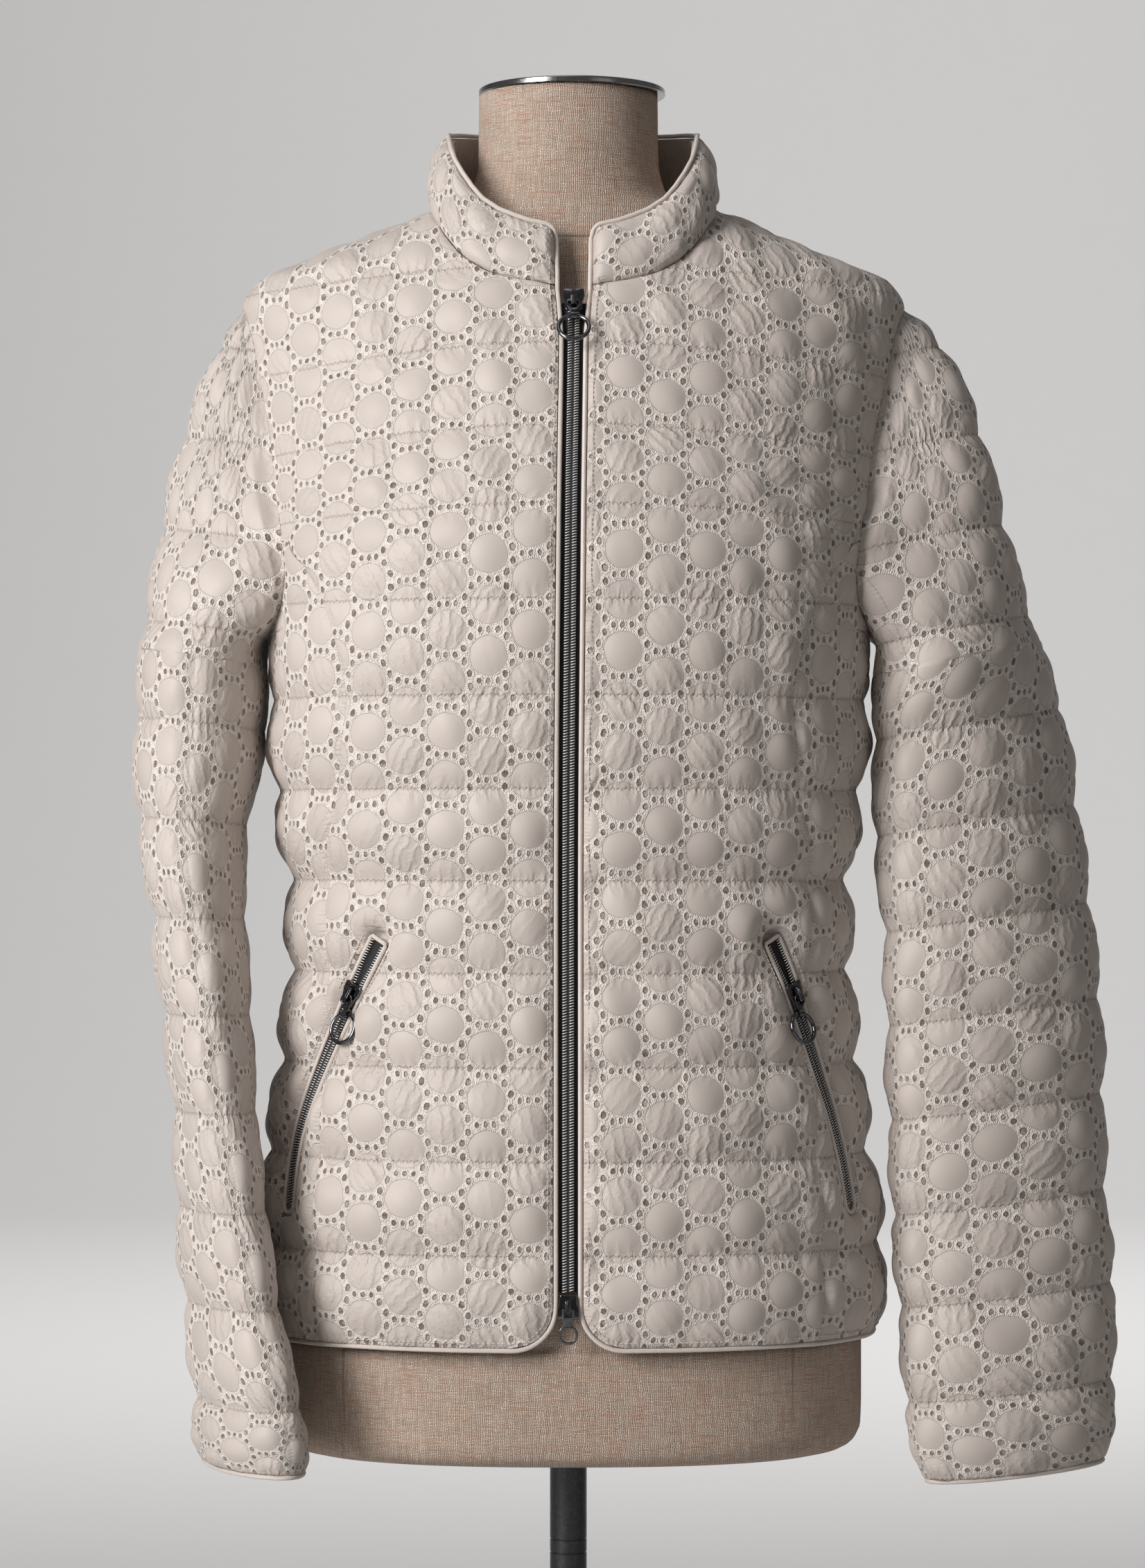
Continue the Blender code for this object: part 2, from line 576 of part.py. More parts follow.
def ring_split():
    """Numbers of the armhole's points at the front seam and at the back seam."""
    top = int(np.argmax(ARMHOLE_Z))
    front = int(np.argmin(np.abs(ARMHOLE_Z[:top] - FRONT_SEAM_Z)))
    back = top + int(np.argmin(np.abs(ARMHOLE_Z[top:] - BACK_SEAM_Z)))
    return front, back


def hole_ring():
    """The armhole's points and normals under the sleeve's edge, with their places round it:
    0 to 1 over the upper sleeve from the front seam to the back one, 1 to 2 under the arm."""
    front, back = ring_split()
    count = len(ARMHOLE_Q)
    order, places = [], []
    for start, half in ((0, range(front, back + 1)), (1, [*range(back, count), *range(front + 1)])):
        run = np.linalg.norm(np.diff(HOLE[list(half)], axis=0), axis=1).cumsum()
        order += list(half)[:-1]
        places += [start, *(start + run[:-1] / run[-1])]
    return HOLE[order], HOLE_OUT[order], np.array(places)


def arm_value(side, name, z, unit_=1.0):
    return read(LEFT_ARM if side > 0 else RIGHT_ARM, ARM_COLUMNS, name, z, unit_)


def arm_point(side, z, angle):
    """Point of a sleeve below the armpit, for the wearer's left; angle 0 is its front end."""
    cx, cy, long_, short = (arm_value(side, n, z, CM) for n in ("x", "y", "long", "short"))
    turn, tilt = (np.radians(arm_value(side, n, z)) for n in ("turn", "tilt"))
    ahead, out = long_ * np.cos(angle), short * np.sin(angle)
    x = -np.sin(turn) * ahead + np.cos(turn) * out
    y = -np.cos(turn) * ahead - np.sin(turn) * out
    return np.stack([cx + x * np.cos(tilt), cy + y, z + x * np.sin(tilt)], axis=-1)


def cap_point(side, step, angle, hole, hole_out):
    """Point between the armhole (step 0) and the first full section (step 1)."""
    z = arm_value(side, "z", ARM_LINES[side][0] * CM, CM)
    end = arm_point(side, z, angle)
    tilt = math.radians(float(arm_value(side, "tilt", z)))
    down = np.array([math.sin(tilt), 0.0, -math.cos(tilt)])
    under, over, share, held = CAP_LEAVES[side]
    outwards = under + (over - under) * np.clip(np.sin(angle), 0, 1) ** 2
    away = unit(np.stack([outwards, 0 * outwards, -np.sqrt(1 - outwards ** 2)], axis=-1) + share * hole_out)
    chord = np.linalg.norm(end - hole, axis=-1, keepdims=True) * held
    h00, h10 = 2 * step ** 3 - 3 * step ** 2 + 1, step ** 3 - 2 * step ** 2 + step
    h01, h11 = -2 * step ** 3 + 3 * step ** 2, step ** 3 - step ** 2
    return h00 * hole + h10 * away * chord + h01 * end + h11 * down * chord


RING = hole_ring()


def hole_at(at):
    points, normals, places = RING
    return [np.stack([np.interp(at, places, v[:, k], period=2) for k in range(3)], axis=-1)
            for v in (points, normals)]


def arm_row(side, step, at):
    """Points round a sleeve; step below 1 is in the cap, above it a section's number."""
    at = np.asarray(at, float)
    if step < 1:
        hole, hole_out = hole_at(at)
        return cap_point(side, step, math.pi * at, hole, unit(hole_out))
    lines = np.array(ARM_LINES[side]) * CM
    return arm_point(side, np.interp(step - 1, np.arange(len(lines)), lines), math.pi * at)


def arm_depth(side, points):
    """Quilting lines passed on the way down the arm."""
    z = ARM_LINES[side][0] * CM
    tilt = math.radians(float(arm_value(side, "tilt", z)))
    middle = np.array([float(arm_value(side, "x", z, CM)), 0.0, z])
    below = (points - middle) @ np.array([math.sin(tilt), 0.0, -math.cos(tilt)])
    return (below + FIRST_ARM_LINE - z) / ARM_PITCH


def arm_skin(side, step, at, edge):
    """Outer and inner points round a sleeve."""
    place = arm_row(side, step, at)
    slip = 0.01
    if step < 1:
        along = arm_row(side, min(step + slip, 0.9999), at) - arm_row(side, max(step - slip, 0), at)
        line = arm_depth(side, place)
    else:
        along = arm_row(side, step + slip, at) - arm_row(side, max(step - slip, 1), at)
        lines = np.array(ARM_LINES[side]) * CM
        first = (FIRST_ARM_LINE - lines[0]) / ARM_PITCH
        line = first + (step - 1) * (1 - first) if step < 2 else step - 1
    out = unit(np.cross(along, arm_row(side, step, at + 0.02) - arm_row(side, step, at - 0.02)))
    inner_side = np.clip(-np.sin(math.pi * at), 0, 1)
    puff = ARM_PUFF * np.abs(np.sin(math.pi * (line % 1.0))) ** 0.7 * np.minimum(edge / EDGE, 1) ** 0.6
    puff = puff * (1 - max(0.5, 1 - 0.5 * step) * inner_side) * min(1.0, step / 0.12)
    return place + out * np.reshape(puff, (-1, 1)), place - out * WALL


def build_sleeve(side, tag):
    last = len(ARM_LINES[side]) - 1
    steps = list(CAP_STEPS) + [1.0] + [1 + k + t for k in range(last) for t in (0.3, 0.7, 1.0)]
    steps[-1] -= 1e-6
    flip = np.array([side, 1, 1])
    keep = [k for k, step in enumerate(steps)
            if step < 1 or float(step).is_integer() or k == len(steps) - 1]
    for start, label in ((0, "upper"), (1, "under")):
        outer, inner = [], []
        ends = [p for p in RING[2] if start <= p < start + 1] + [start + 1.0]
        for k, step in enumerate(steps):
            at = np.array(ends) if k == 0 else start + np.linspace(0, 1, ARM_SIDES + 1)
            row = arm_row(side, step, at)
            width = float(np.linalg.norm(np.diff(row, axis=0), axis=1).sum())
            clear = GAP / 2 / width
            inset = np.clip(at, start + clear, start + 1 - clear)
            edge = np.minimum(at - start, start + 1 - at) * width
            out_row, in_row = arm_skin(side, step, inset, edge)
            if k == 0:
                hole, hole_out = hole_at(inset)
                out_row, in_row = hole, hole - unit(hole_out) * WALL
            outer.append((out_row * flip, at - start))
            if k in keep:
                inner.append((in_row * flip, at - start))
        cloth(f"{label}_sleeve_{tag}", outer, inner, at=[float(t) for t in steps], keep=keep)
    cuff_binding(side, tag, steps[-1])


def cuff_binding(side, tag, step):
    loop = arm_row(side, step, np.linspace(0, 2, 2 * ARM_SIDES + 1)[:-1])
    centre = loop.mean(axis=0)
    tilt = math.radians(float(arm_value(side, "tilt", ARM_LINES[side][-1] * CM)))
    down = np.array([math.sin(tilt), 0, -math.cos(tilt)])
    out = unit(loop - centre)
    middle = loop - out * WALL / 2 + down * (GAP + PIPE)
    rings = [[(m + (o * c + down * s) * PIPE) * np.array([side, 1, 1])
              for c, s in ((1, 0), (0, 1), (-1, 0), (0, -1))] for m, o in zip(middle, out)]
    sweep(f"cuff_binding_{tag}", rings, "piping", closed=True)


# ---------------------------------------------------------------- collar
NECK_Q, NECK_ZS = neck_line()
SEAM_Q, SEAM_Z = beside(NECK_Q, NECK_ZS, -GAP * 1.6)
SEAM, SEAM_OUT = body.point(SEAM_Q, SEAM_Z), body.normal(SEAM_Q, SEAM_Z)
SEAM_RUN = np.concatenate([[0], np.linalg.norm(np.diff(SEAM, axis=0), axis=1).cumsum()])


def collar_point(share, rise):
    """Point of the collar: share runs from the front edge to the middle back, rise from 0 to 1."""
    run = np.clip(share, 0, 1) * SEAM_RUN[-1]
    foot = np.stack([np.interp(run, SEAM_RUN, SEAM[:, k]) for k in range(3)], axis=-1)
    data = np.array(COLLAR_ROWS)
    height, lean = (smooth(data[:, 0], data[:, COLLAR_COLUMNS.index(name)] * CM, share)
                    for name in ("height", "lean"))
    corner = np.clip(COLLAR_CORNER - run, 0, COLLAR_CORNER)
    height = height - COLLAR_CORNER + np.sqrt(COLLAR_CORNER ** 2 - corner ** 2)
    inward = -unit(foot * np.array([1, 1, 0]))
    inward[..., 0] *= np.clip(run / (3 * CM), 0, 1)
    rise = np.asarray(rise, float)
    leaning = lean * np.maximum(rise, 0) ** 1.3
    return foot + inward * leaning[..., None] + np.stack(
        [np.zeros_like(foot[..., 0]), np.zeros_like(foot[..., 0]), height * rise], axis=-1)


def collar_normal(share, rise):
    ds, dr = 0.02, 0.05
    across = collar_point(np.clip(share + ds, 0, 1), rise) - collar_point(np.clip(share - ds, 0, 1), rise)
    up = collar_point(share, rise + dr) - collar_point(share, rise - dr)
    return unit(np.cross(across, up))


def collar_shares():
    ends = np.array([0.0, 1.5, 3.5, 6.0]) * MM / SEAM_RUN[-1]
    return np.concatenate([ends, np.linspace(0.08, 1.0, 13)])


def build_collar():
    half = collar_shares()
    mirror = np.array([-1, 1, 1])
    rises = (0.0, 0.25, 0.5, 0.8, 1.0)
    puffs = (0.0, 0.75, 1.0, 0.7, 0.0)
    for name, depth, wall, lift in (("collar", 0.0, WALL, COLLAR_PUFF),
                                    ("collar_lining", WALL + GAP, LINING_WALL, 0.0)):
        outer, inner = [], []
        for rise, puff in zip(rises, puffs):
            if not lift and rise in (0.25, 0.8):
                continue
            rise = rise if lift else 0.06 + 0.92 * rise
            level = np.full(len(half), rise)
            place, out = collar_point(half, level), collar_normal(half, level)
            out[-1] = unit(out[-1] * np.array([0, 1, 1]))
            if rise == 0.0:
                foot_out = np.stack([np.interp(half * SEAM_RUN[-1], SEAM_RUN, SEAM_OUT[:, k])
                                     for k in range(3)], axis=-1)
                inside = place - unit(foot_out) * (depth + wall)
            else:
                inside = place - out * (depth + wall)
            edge = np.minimum(half * SEAM_RUN[-1] / EDGE, 1) ** 0.6
            outside = place + out * (lift * puff * edge - depth)[:, None]
            for rows, points in ((outer, outside), (inner, inside)):
                full = np.vstack([points, (points * mirror)[-2::-1]])
                rows.append((full, np.linspace(0, 1, len(full))))
        cloth(name, outer, inner, "shell" if lift else "lining")


# ---------------------------------------------------------------- piping round the jacket's edge
def edge_path():
    """Half the outer edge: middle back of the collar, its top and front, the front edge, the
    rounded corner and the hem to the middle back. Gives places, outward directions in the cloth
    and the cloth's own normals."""
    shares = collar_shares()[::-1]
    top = collar_point(shares, np.ones(len(shares)))
    normal = collar_normal(shares, np.ones(len(shares)))
    down = collar_point(np.zeros(3), np.array([0.75, 0.45, 0.15]))
    down_normal = collar_normal(np.zeros(3), np.array([0.75, 0.45, 0.15]))
    collar_places = np.vstack([top, down])
    collar_normals = np.vstack([normal, down_normal])

    levels = [z for z in LEVELS[::-1]
              if z <= ZIP_BOTTOM or ZIP_TOP < z < NECK_Z - 2 * MM or z in ZIP_LEVELS]
    q = [front_inner_q(z) for z in levels]
    z = list(levels)
    hem_q = list(q[-1] + (1 - q[-1]) * np.linspace(0.12, 1, 8)) + list(1 + np.linspace(0.14, 1, 7))
    q, z = np.array(q + hem_q), np.array(z + [HEM_Z] * len(hem_q))
    places, normals = body.point(q, z), body.normal(q, z)
    places, normals = np.vstack([collar_places, places]), np.vstack([collar_normals, normals])
    tangent = np.gradient(places, axis=0)
    tangent[0], tangent[-1] = (1, 0, 0), (-1, 0, 0)
    out = unit(np.cross(normals, unit(tangent)))
    return places, out, normals


def build_edge_binding():
    places, out, normals = edge_path()
    if out[0][2] < 0:
        out = -out
    out[0] = out[0] * np.array([0, 1, 1])
    middle = places - normals * (WALL / 2) + out * (1.6 * GAP + PIPE)
    middle[:, 0] = np.where(places[:, 0] > 2 * MM, middle[:, 0], 0.0)
    half = [[m + (n * c + o * s) * PIPE for c, s in ((1, 0), (0, 1), (-1, 0), (0, -1))]
            for m, n, o in zip(middle, unit(normals), out)]
    mirror = np.array([-1, 1, 1])
    other = [[p * mirror for p in ring] for ring in half[1:-1][::-1]]
    sweep("edge_binding", half + other, "piping", closed=True)


# ---------------------------------------------------------------- front zip
def front_strip(name, x_from, x_to, high, low, levels, kind):
    """A flat strip of the zip up the middle front, between two depths from the cloth's line."""
    rings = []
    for z in levels:
        q = np.array([body.q_at_x(abs(x), z) * (1 if x >= 0 else -1) for x in (x_from, x_to)])
        place, out = body.point(q, z), body.normal(q, z)
        rings.append([place[0] + out[0] * high, place[1] + out[1] * high,
                      place[1] + out[1] * low, place[0] + out[0] * low])
    return sweep(name, rings, kind)


def build_front_zip():
    levels = [ZIP_BOTTOM] + ZIP_LEVELS + [ZIP_TOP]
    under = -WALL / 2 - PIPE - GAP
    for side, tag in ((1, "l"), (-1, "r")):
        front_strip(f"zip_tape_{tag}", side * GAP / 2, side * TAPE_HALF, under, under - 1 * MM,
                    levels, "tape")
    front_strip("zip_chain", -ZIP_HALF, ZIP_HALF, 0.2 * MM, under + GAP, levels, "nickel")


# ---------------------------------------------------------------- sliders and pulls
PLATE_FROM, PLATE_TO = 1.0 * MM, 2.2 * MM          # the slider's face above the cloth's line
BRIDGE_WIDE, BRIDGE_LONG, BRIDGE_HIGH = 3.0 * MM, 8.4 * MM, 3.0 * MM
BRIDGE_LEG, BRIDGE_TOP = 1.1 * MM, 1.0 * MM
RING_R, WIRE = 8.2 * MM, 1.0 * MM
BAR = 0.6 * MM                                     # half thickness of a link
BAR_Y, BAR_Z = 1.4 * MM, PLATE_TO + 1.0 * MM       # the link's bar under the bridge
LINK_HALF, LINK_SIDE, LINK_LONG = 2.9 * MM, 0.8 * MM, 6.4 * MM
LINK_REACH = 9.0 * MM                              # from the bar to the eye
EYE_R, EYE_HOLE, EYE_WIDE = 2.1 * MM, 1.35 * MM, 3.6 * MM
TAB_REACH = 13.4 * MM                              # from the bar to the tab's round end
RING_TILT = 13.0                                   # the ring leans out this far, degrees
SWING_MOST = math.radians(30)                      # how far a link can swing in its bridge


def box(size, centre):
    bm = bmesh.new()
    bmesh.ops.create_cube(bm, size=1.0)
    bmesh.ops.scale(bm, vec=Vector(size), verts=bm.verts)
    bmesh.ops.translate(bm, vec=Vector(centre), verts=bm.verts)
    mesh = bpy.data.meshes.new("box")
    bm.to_mesh(mesh)
    bm.free()
    return mesh


def drum(radius, width, centre, sides, along="X"):
    """A cylinder along local X or Z."""
    bm = bmesh.new()
    bmesh.ops.create_cone(bm, cap_ends=True, segments=sides, radius1=radius, radius2=radius, depth=width)
    if along == "X":
        bmesh.ops.rotate(bm, matrix=Matrix.Rotation(math.pi / 2, 3, "Y"), verts=bm.verts)
    bmesh.ops.translate(bm, vec=Vector(centre), verts=bm.verts)
    mesh = bpy.data.meshes.new("drum")
    bm.to_mesh(mesh)
    bm.free()
    return mesh


def combine(first, others, operation):
    """Join meshes to, or cut them from, the first one."""
    base = bpy.data.objects.new("whole", first)
    bpy.context.scene.collection.objects.link(base)
    for mesh in others:
        other = bpy.data.objects.new("other", mesh)
        bpy.context.scene.collection.objects.link(other)
        mod = base.modifiers.new("join", "BOOLEAN")
        mod.operation, mod.object, mod.solver = operation, other, "EXACT"
        bpy.context.view_layer.update()
        result = bpy.data.meshes.new_from_object(base.evaluated_get(bpy.context.evaluated_depsgraph_get()))
        base.modifiers.clear()
        base.data = result
        bpy.data.objects.remove(other, do_unlink=True)
    result = base.data
    bpy.data.objects.remove(base, do_unlink=True)
    return result


def slider_mesh():
    """A slider in its own frame: Y runs down the zip from its middle, Z out of the cloth."""
    wide, long_ = 11.4 * MM, 13.0 * MM
    middle = (PLATE_FROM + PLATE_TO) / 2
    plate = box((wide, long_, PLATE_TO - PLATE_FROM), (0, 0, middle))
    for v in plate.vertices:                       # narrower where the closed chain leaves it
        if v.co.y > 0:
            v.co.x *= 0.78
    inside = BRIDGE_HIGH - BRIDGE_TOP
    foot = 0.4 * MM                                # sunk into the plate
    arch = box((BRIDGE_WIDE, BRIDGE_LONG, BRIDGE_HIGH + foot),
               (0, 0, PLATE_TO + (BRIDGE_HIGH - foot) / 2))
    hole = box((BRIDGE_WIDE * 2, BRIDGE_LONG - 2 * BRIDGE_LEG, inside), (0, 0, PLATE_TO + inside / 2))
    arch = combine(arch, [hole], "DIFFERENCE")
    return combine(plate, [arch], "UNION")


def bar_frame(half, side, long_):
    """The open frame of a link: its bar on local X at the origin, the rest down local Y."""
    frame = box((2 * (half + side), long_, 2 * BAR), (0, long_ / 2 - BAR, 0))
    inside = long_ - 4 * BAR
    return combine(frame, [box((2 * half, inside, 4 * BAR), (0, BAR + inside / 2, 0))], "DIFFERENCE")


def link_mesh():
    """The pull's link with the eye that holds the ring."""
    frame = bar_frame(LINK_HALF, LINK_SIDE, LINK_LONG)
    neck = box((EYE_WIDE - 0.6 * MM, 3.4 * MM, 2 * BAR), (0, LINK_REACH - 3.2 * MM, 0))
    eye = drum(EYE_R, EYE_WIDE, (0, LINK_REACH, 0), 10)
    whole = combine(frame, [neck, eye], "UNION")
    return combine(whole, [drum(EYE_HOLE, EYE_WIDE * 2, (0, LINK_REACH, 0), 10)], "DIFFERENCE")


def ring_mesh():
    """The pull's ring hanging from the origin down local Y, its plane the local XY plane."""
    bpy.ops.mesh.primitive_torus_add(major_radius=RING_R, minor_radius=WIRE, major_segments=18,
                                     minor_segments=5)
    obj = bpy.context.object
    mesh = obj.data
    mesh.transform(Matrix.Translation((0, RING_R, 0)))
    bpy.data.objects.remove(obj, do_unlink=True)
    return mesh


def tab_mesh():
    """The lower slider's one-piece tab: bar, neck and a round end with a hole."""
    frame = bar_frame(2.0 * MM, 1.0 * MM, 5.6 * MM)
    neck = box((4.4 * MM, 6.0 * MM, 2 * BAR), (0, 7.4 * MM, 0))
    whole = combine(frame, [neck, drum(5.3 * MM, 2 * BAR, (0, TAB_REACH, 0), 20, "Z")], "UNION")
    return combine(whole, [drum(3.9 * MM, 6 * BAR, (0, TAB_REACH, 0), 20, "Z")], "DIFFERENCE")


def frame_at(place, down, out):
    """Matrix of a local frame: Y down the zip, Z out of the cloth."""
    down, out = Vector(down).normalized(), Vector(out).normalized()
    out = (out - down * out.dot(down)).normalized()
    across = down.cross(out)
    turn = Matrix((across, down, out)).transposed().to_4x4()
    return Matrix.Translation(Vector(place)) @ turn


def hanging(where):
    """Turn in the slider's plane that lets a pull hang as straight down as its bridge allows."""
    fall = where.to_3x3().transposed() @ Vector((0, 0, -1))
    return max(-SWING_MOST, min(SWING_MOST, math.atan2(-fall.x, fall.y)))


def build_pull(prefix, where, tab=False):
    """A slider with its link and ring, or its one-piece tab, on a zip's frame."""
    slider = slider_mesh()
    slider.transform(where @ Matrix.Rotation(math.pi if tab else 0.0, 4, "Z"))
    finish(f"{prefix}_slider", slider, "nickel")
    bar = where @ Matrix.Translation((0, BAR_Y, BAR_Z)) @ Matrix.Rotation(hanging(where), 4, "Z")
    if tab:
        mesh = tab_mesh()
        mesh.transform(bar @ Matrix.Rotation(math.radians(-4), 4, "X"))
        finish(f"{prefix}_tab", mesh, "nickel", bar.translation)
        return
    link = link_mesh()
    link.transform(bar)
    finish(f"{prefix}_link", link, "nickel", bar.translation)
    eye = bar @ Matrix.Translation((0, LINK_REACH, 0))
    ring = ring_mesh()
    ring.transform(eye @ Matrix.Rotation(math.radians(RING_TILT), 4, "X"))
    finish(f"{prefix}_ring", ring, "nickel", eye.translation)


def front_frame(z):
    p = sway(body.point(0.0, np.array([z - 5 * MM, z, z + 5 * MM])))
    return frame_at(p[1], p[0] - p[2], body.normal(0.0, z))


# ---------------------------------------------------------------- pocket zips
def pocket_line(side):
    """Places, directions down the zip, cloth normals and sideways directions."""
    q, levels = pocket_path(side)
    place, out = body.point(q, levels), body.normal(q, levels)
    down = unit(np.gradient(place, axis=0))
    out = unit(out - down * (out * down).sum(axis=-1, keepdims=True))
    return place, down, out, np.cross(down, out)


def bar_rings(place, across, out, half, high, low):
    return [[p - a * half + n * high, p + a * half + n * high, p + a * half + n * low,
             p - a * half + n * low] for p, a, n in zip(place, across, out)]


def build_pocket(side, tag):
    place, down, out, across = pocket_line(side)
    flip = np.array([side, 1, 1])
    # the slit
    longer = place.copy()
    longer[0] -= down[0] * SLIT_HALF
    longer[-1] += down[-1] * SLIT_HALF
    corners = ((-SLIT_HALF, 9 * MM), (SLIT_HALF, 9 * MM), (SLIT_HALF, -1 * MM), (SLIT_HALF, -7 * MM),
               (-SLIT_HALF, -7 * MM), (-SLIT_HALF, -1 * MM))
    cutter = [[p + (a * b + n * h) for b, h in corners] for p, a, n in zip(longer, across, out)]
    build = Builder()
    rows = [build.row(sway(np.array(r) * flip)) for r in cutter]
    for a, b in zip(rows[:-1], rows[1:]):
        build.strip(a, b, closed=True)
    build.bm.faces.new(rows[0])
    build.bm.faces.new(rows[-1])
    cutter = build.mesh("slit")
    for name in (f"front_{tag}", f"side_front_{tag}"):
        obj = collection.objects[name]
        old = obj.data
        obj.data = combine(old, [cutter.copy()], "DIFFERENCE")
        obj.data.materials.clear()
        obj.data.materials.append(material("shell").copy())
    # piping round the slit, its ends closed by short runs across
    middle = place - out * WALL / 2
    left, right = middle - across * LIP_HALF, middle + across * LIP_HALF
    top, bottom = middle[0] - down[0] * LIP_HALF, middle[-1] + down[-1] * LIP_HALF
    corner = 0.7 * LIP_HALF
    loop = [*left, middle[-1] + (down[-1] - across[-1]) * corner, bottom,
            middle[-1] + (down[-1] + across[-1]) * corner, *right[::-1],
            middle[0] - (down[0] - across[0]) * corner, top, middle[0] - (down[0] + across[0]) * corner]
    centre = [*place, place[-1], place[-1], place[-1], *place[::-1], place[0], place[0], place[0]]
    outs = [*out, out[-1], out[-1], out[-1], *out[::-1], out[0], out[0], out[0]]
    rings = []
    for p, c, n in zip(loop, centre, outs):
        away = unit(p - (c - n * WALL / 2))
        turns = ((1, 0), (0, 1), (-1, 0), (0, -1))
        rings.append([(p + (n * a + away * b) * PIPE) * flip for a, b in turns])
    sweep(f"pocket_lip_{tag}", rings, "piping", closed=True)
    # tape and chain
    under = -WALL / 2 - PIPE - GAP
    tape = bar_rings(place, across, out, SLIT_HALF - GAP, under, under - 1 * MM)
    sweep(f"pocket_tape_{tag}", [[p * flip for p in ring] for ring in tape], "tape")
    start = POCKET_SLIDER * (len(place) - 1)
    below = slice(int(math.ceil(start)), None)
    chain = bar_rings(place[below], across[below], out[below], POCKET_CHAIN_HALF, 0.2 * MM, under + GAP)
    sweep(f"pocket_chain_{tag}", [[p * flip for p in ring] for ring in chain], "nickel")
    at = np.arange(len(place))
    spot = [np.array([np.interp(start, at, v[:, i]) for i in range(3)]) * flip for v in (place, down, out)]
    where = frame_at(sway(spot[0]), spot[1], spot[2])
    build_pull(f"pocket_{tag}", where)


# ---------------------------------------------------------------- dress form and stand
def build_form():
    at = np.linspace(-1, 3, 4 * FORM_SIDES + 1)[:-1]
    levels = [r[0] * CM for r in FORM_ROWS]
    rings = [form.point(at, z) for z in levels]
    sweep("form_body", rings, "linen")


def turned(name, profile, kind, sides=32):
    """A turned piece from (radius, height) pairs, top to bottom on its outer side."""
    mesh = bpy.data.meshes.new(name)
    mesh.from_pydata([(r, 0, z) for r, z in profile], [(i, i + 1) for i in range(len(profile) - 1)], [])
    obj = finish(name, mesh, kind)
    screw = obj.modifiers.new("turn", "SCREW")
    screw.steps = screw.render_steps = sides
    screw.use_merge_vertices, screw.merge_threshold = True, 0.00005
    for polygon in mesh.polygons:
        polygon.use_smooth = True
    return obj


def build_stand():
    shift = float(pair(SWAY, NECK_TOP))
    top = NECK_TOP + GAP + CAP_THICK
    cap = turned("neck_cap", [(0, top), (CAP_R - 1.2 * MM, top), (CAP_R, top - 1.0 * MM),
                              (CAP_R, NECK_TOP + GAP + 0.6 * MM), (CAP_R - 0.6 * MM, NECK_TOP + GAP),
                              (0, NECK_TOP + GAP)], "cap", 28)
    cap.location.x = shift
    foot = BASE_THICK + GAP
    head = FORM_BOTTOM - GAP
    turned("pole", [(0, head), (POLE_R, head), (POLE_R, foot), (0, foot)], "steel", 24)
    turned("base", [(0, BASE_THICK), (40 * MM, BASE_THICK), (BASE_R - 14 * MM, 6.4 * MM),
                    (BASE_R - 1.5 * MM, 4.0 * MM), (BASE_R, 2.6 * MM), (BASE_R, 0), (0, 0)], "steel", 32)


def main():
    clear_scene()
    build_body()
    build_collar()
    for side, tag in ((1, "l"), (-1, "r")):
        build_sleeve(side, tag)
    build_edge_binding()
    build_front_zip()
    build_pull("top", front_frame(TOP_SLIDER))
    build_pull("bottom", front_frame(BOTTOM_SLIDER), tab=True)
    for side, tag in ((1, "l"), (-1, "r")):
        build_pocket(side, tag)
    build_form()
    build_stand()


main()
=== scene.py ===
"""Looks of the quilted puffer jacket on its linen dress form.

Metres in the part's own frame: front of the jacket towards -Y, the wearer's left towards +X.
The cloth follows the same tables as the part's source, on a finer grid.
"""

import math

import bmesh
import bpy
import numpy as np
from mathutils import Matrix, Vector


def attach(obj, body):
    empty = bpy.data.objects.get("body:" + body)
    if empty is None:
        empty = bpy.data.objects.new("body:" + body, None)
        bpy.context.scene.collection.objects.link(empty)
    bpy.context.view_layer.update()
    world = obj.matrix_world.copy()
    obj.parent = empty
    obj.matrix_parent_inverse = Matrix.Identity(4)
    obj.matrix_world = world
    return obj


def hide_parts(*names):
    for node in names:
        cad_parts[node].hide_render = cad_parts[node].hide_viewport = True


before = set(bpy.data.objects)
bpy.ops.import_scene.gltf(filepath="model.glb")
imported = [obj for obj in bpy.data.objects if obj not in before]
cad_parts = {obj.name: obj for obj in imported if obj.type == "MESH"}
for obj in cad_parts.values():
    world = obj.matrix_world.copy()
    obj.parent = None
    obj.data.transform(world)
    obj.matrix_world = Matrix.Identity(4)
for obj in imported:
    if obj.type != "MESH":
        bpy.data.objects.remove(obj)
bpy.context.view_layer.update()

CM, MM = 0.01, 0.001
BODY = "stand_and_jacket"
SIDES = ((1, "l"), (-1, "r"))  # the sign of X and the letter of the wearer's left and right

# ---------------------------------------------------------------- the photograph
PHOTO_WIDE, PHOTO_TALL = 1652, 2263
FOCAL = 6500.0               # in the photograph's pixels
DISTANCE = 2.5               # camera to the object's middle
HORIZON, MIDDLE = 1200, 820  # pixel row at the camera's height, pixel column of the zip
EYE = 64 * CM                # height of the camera

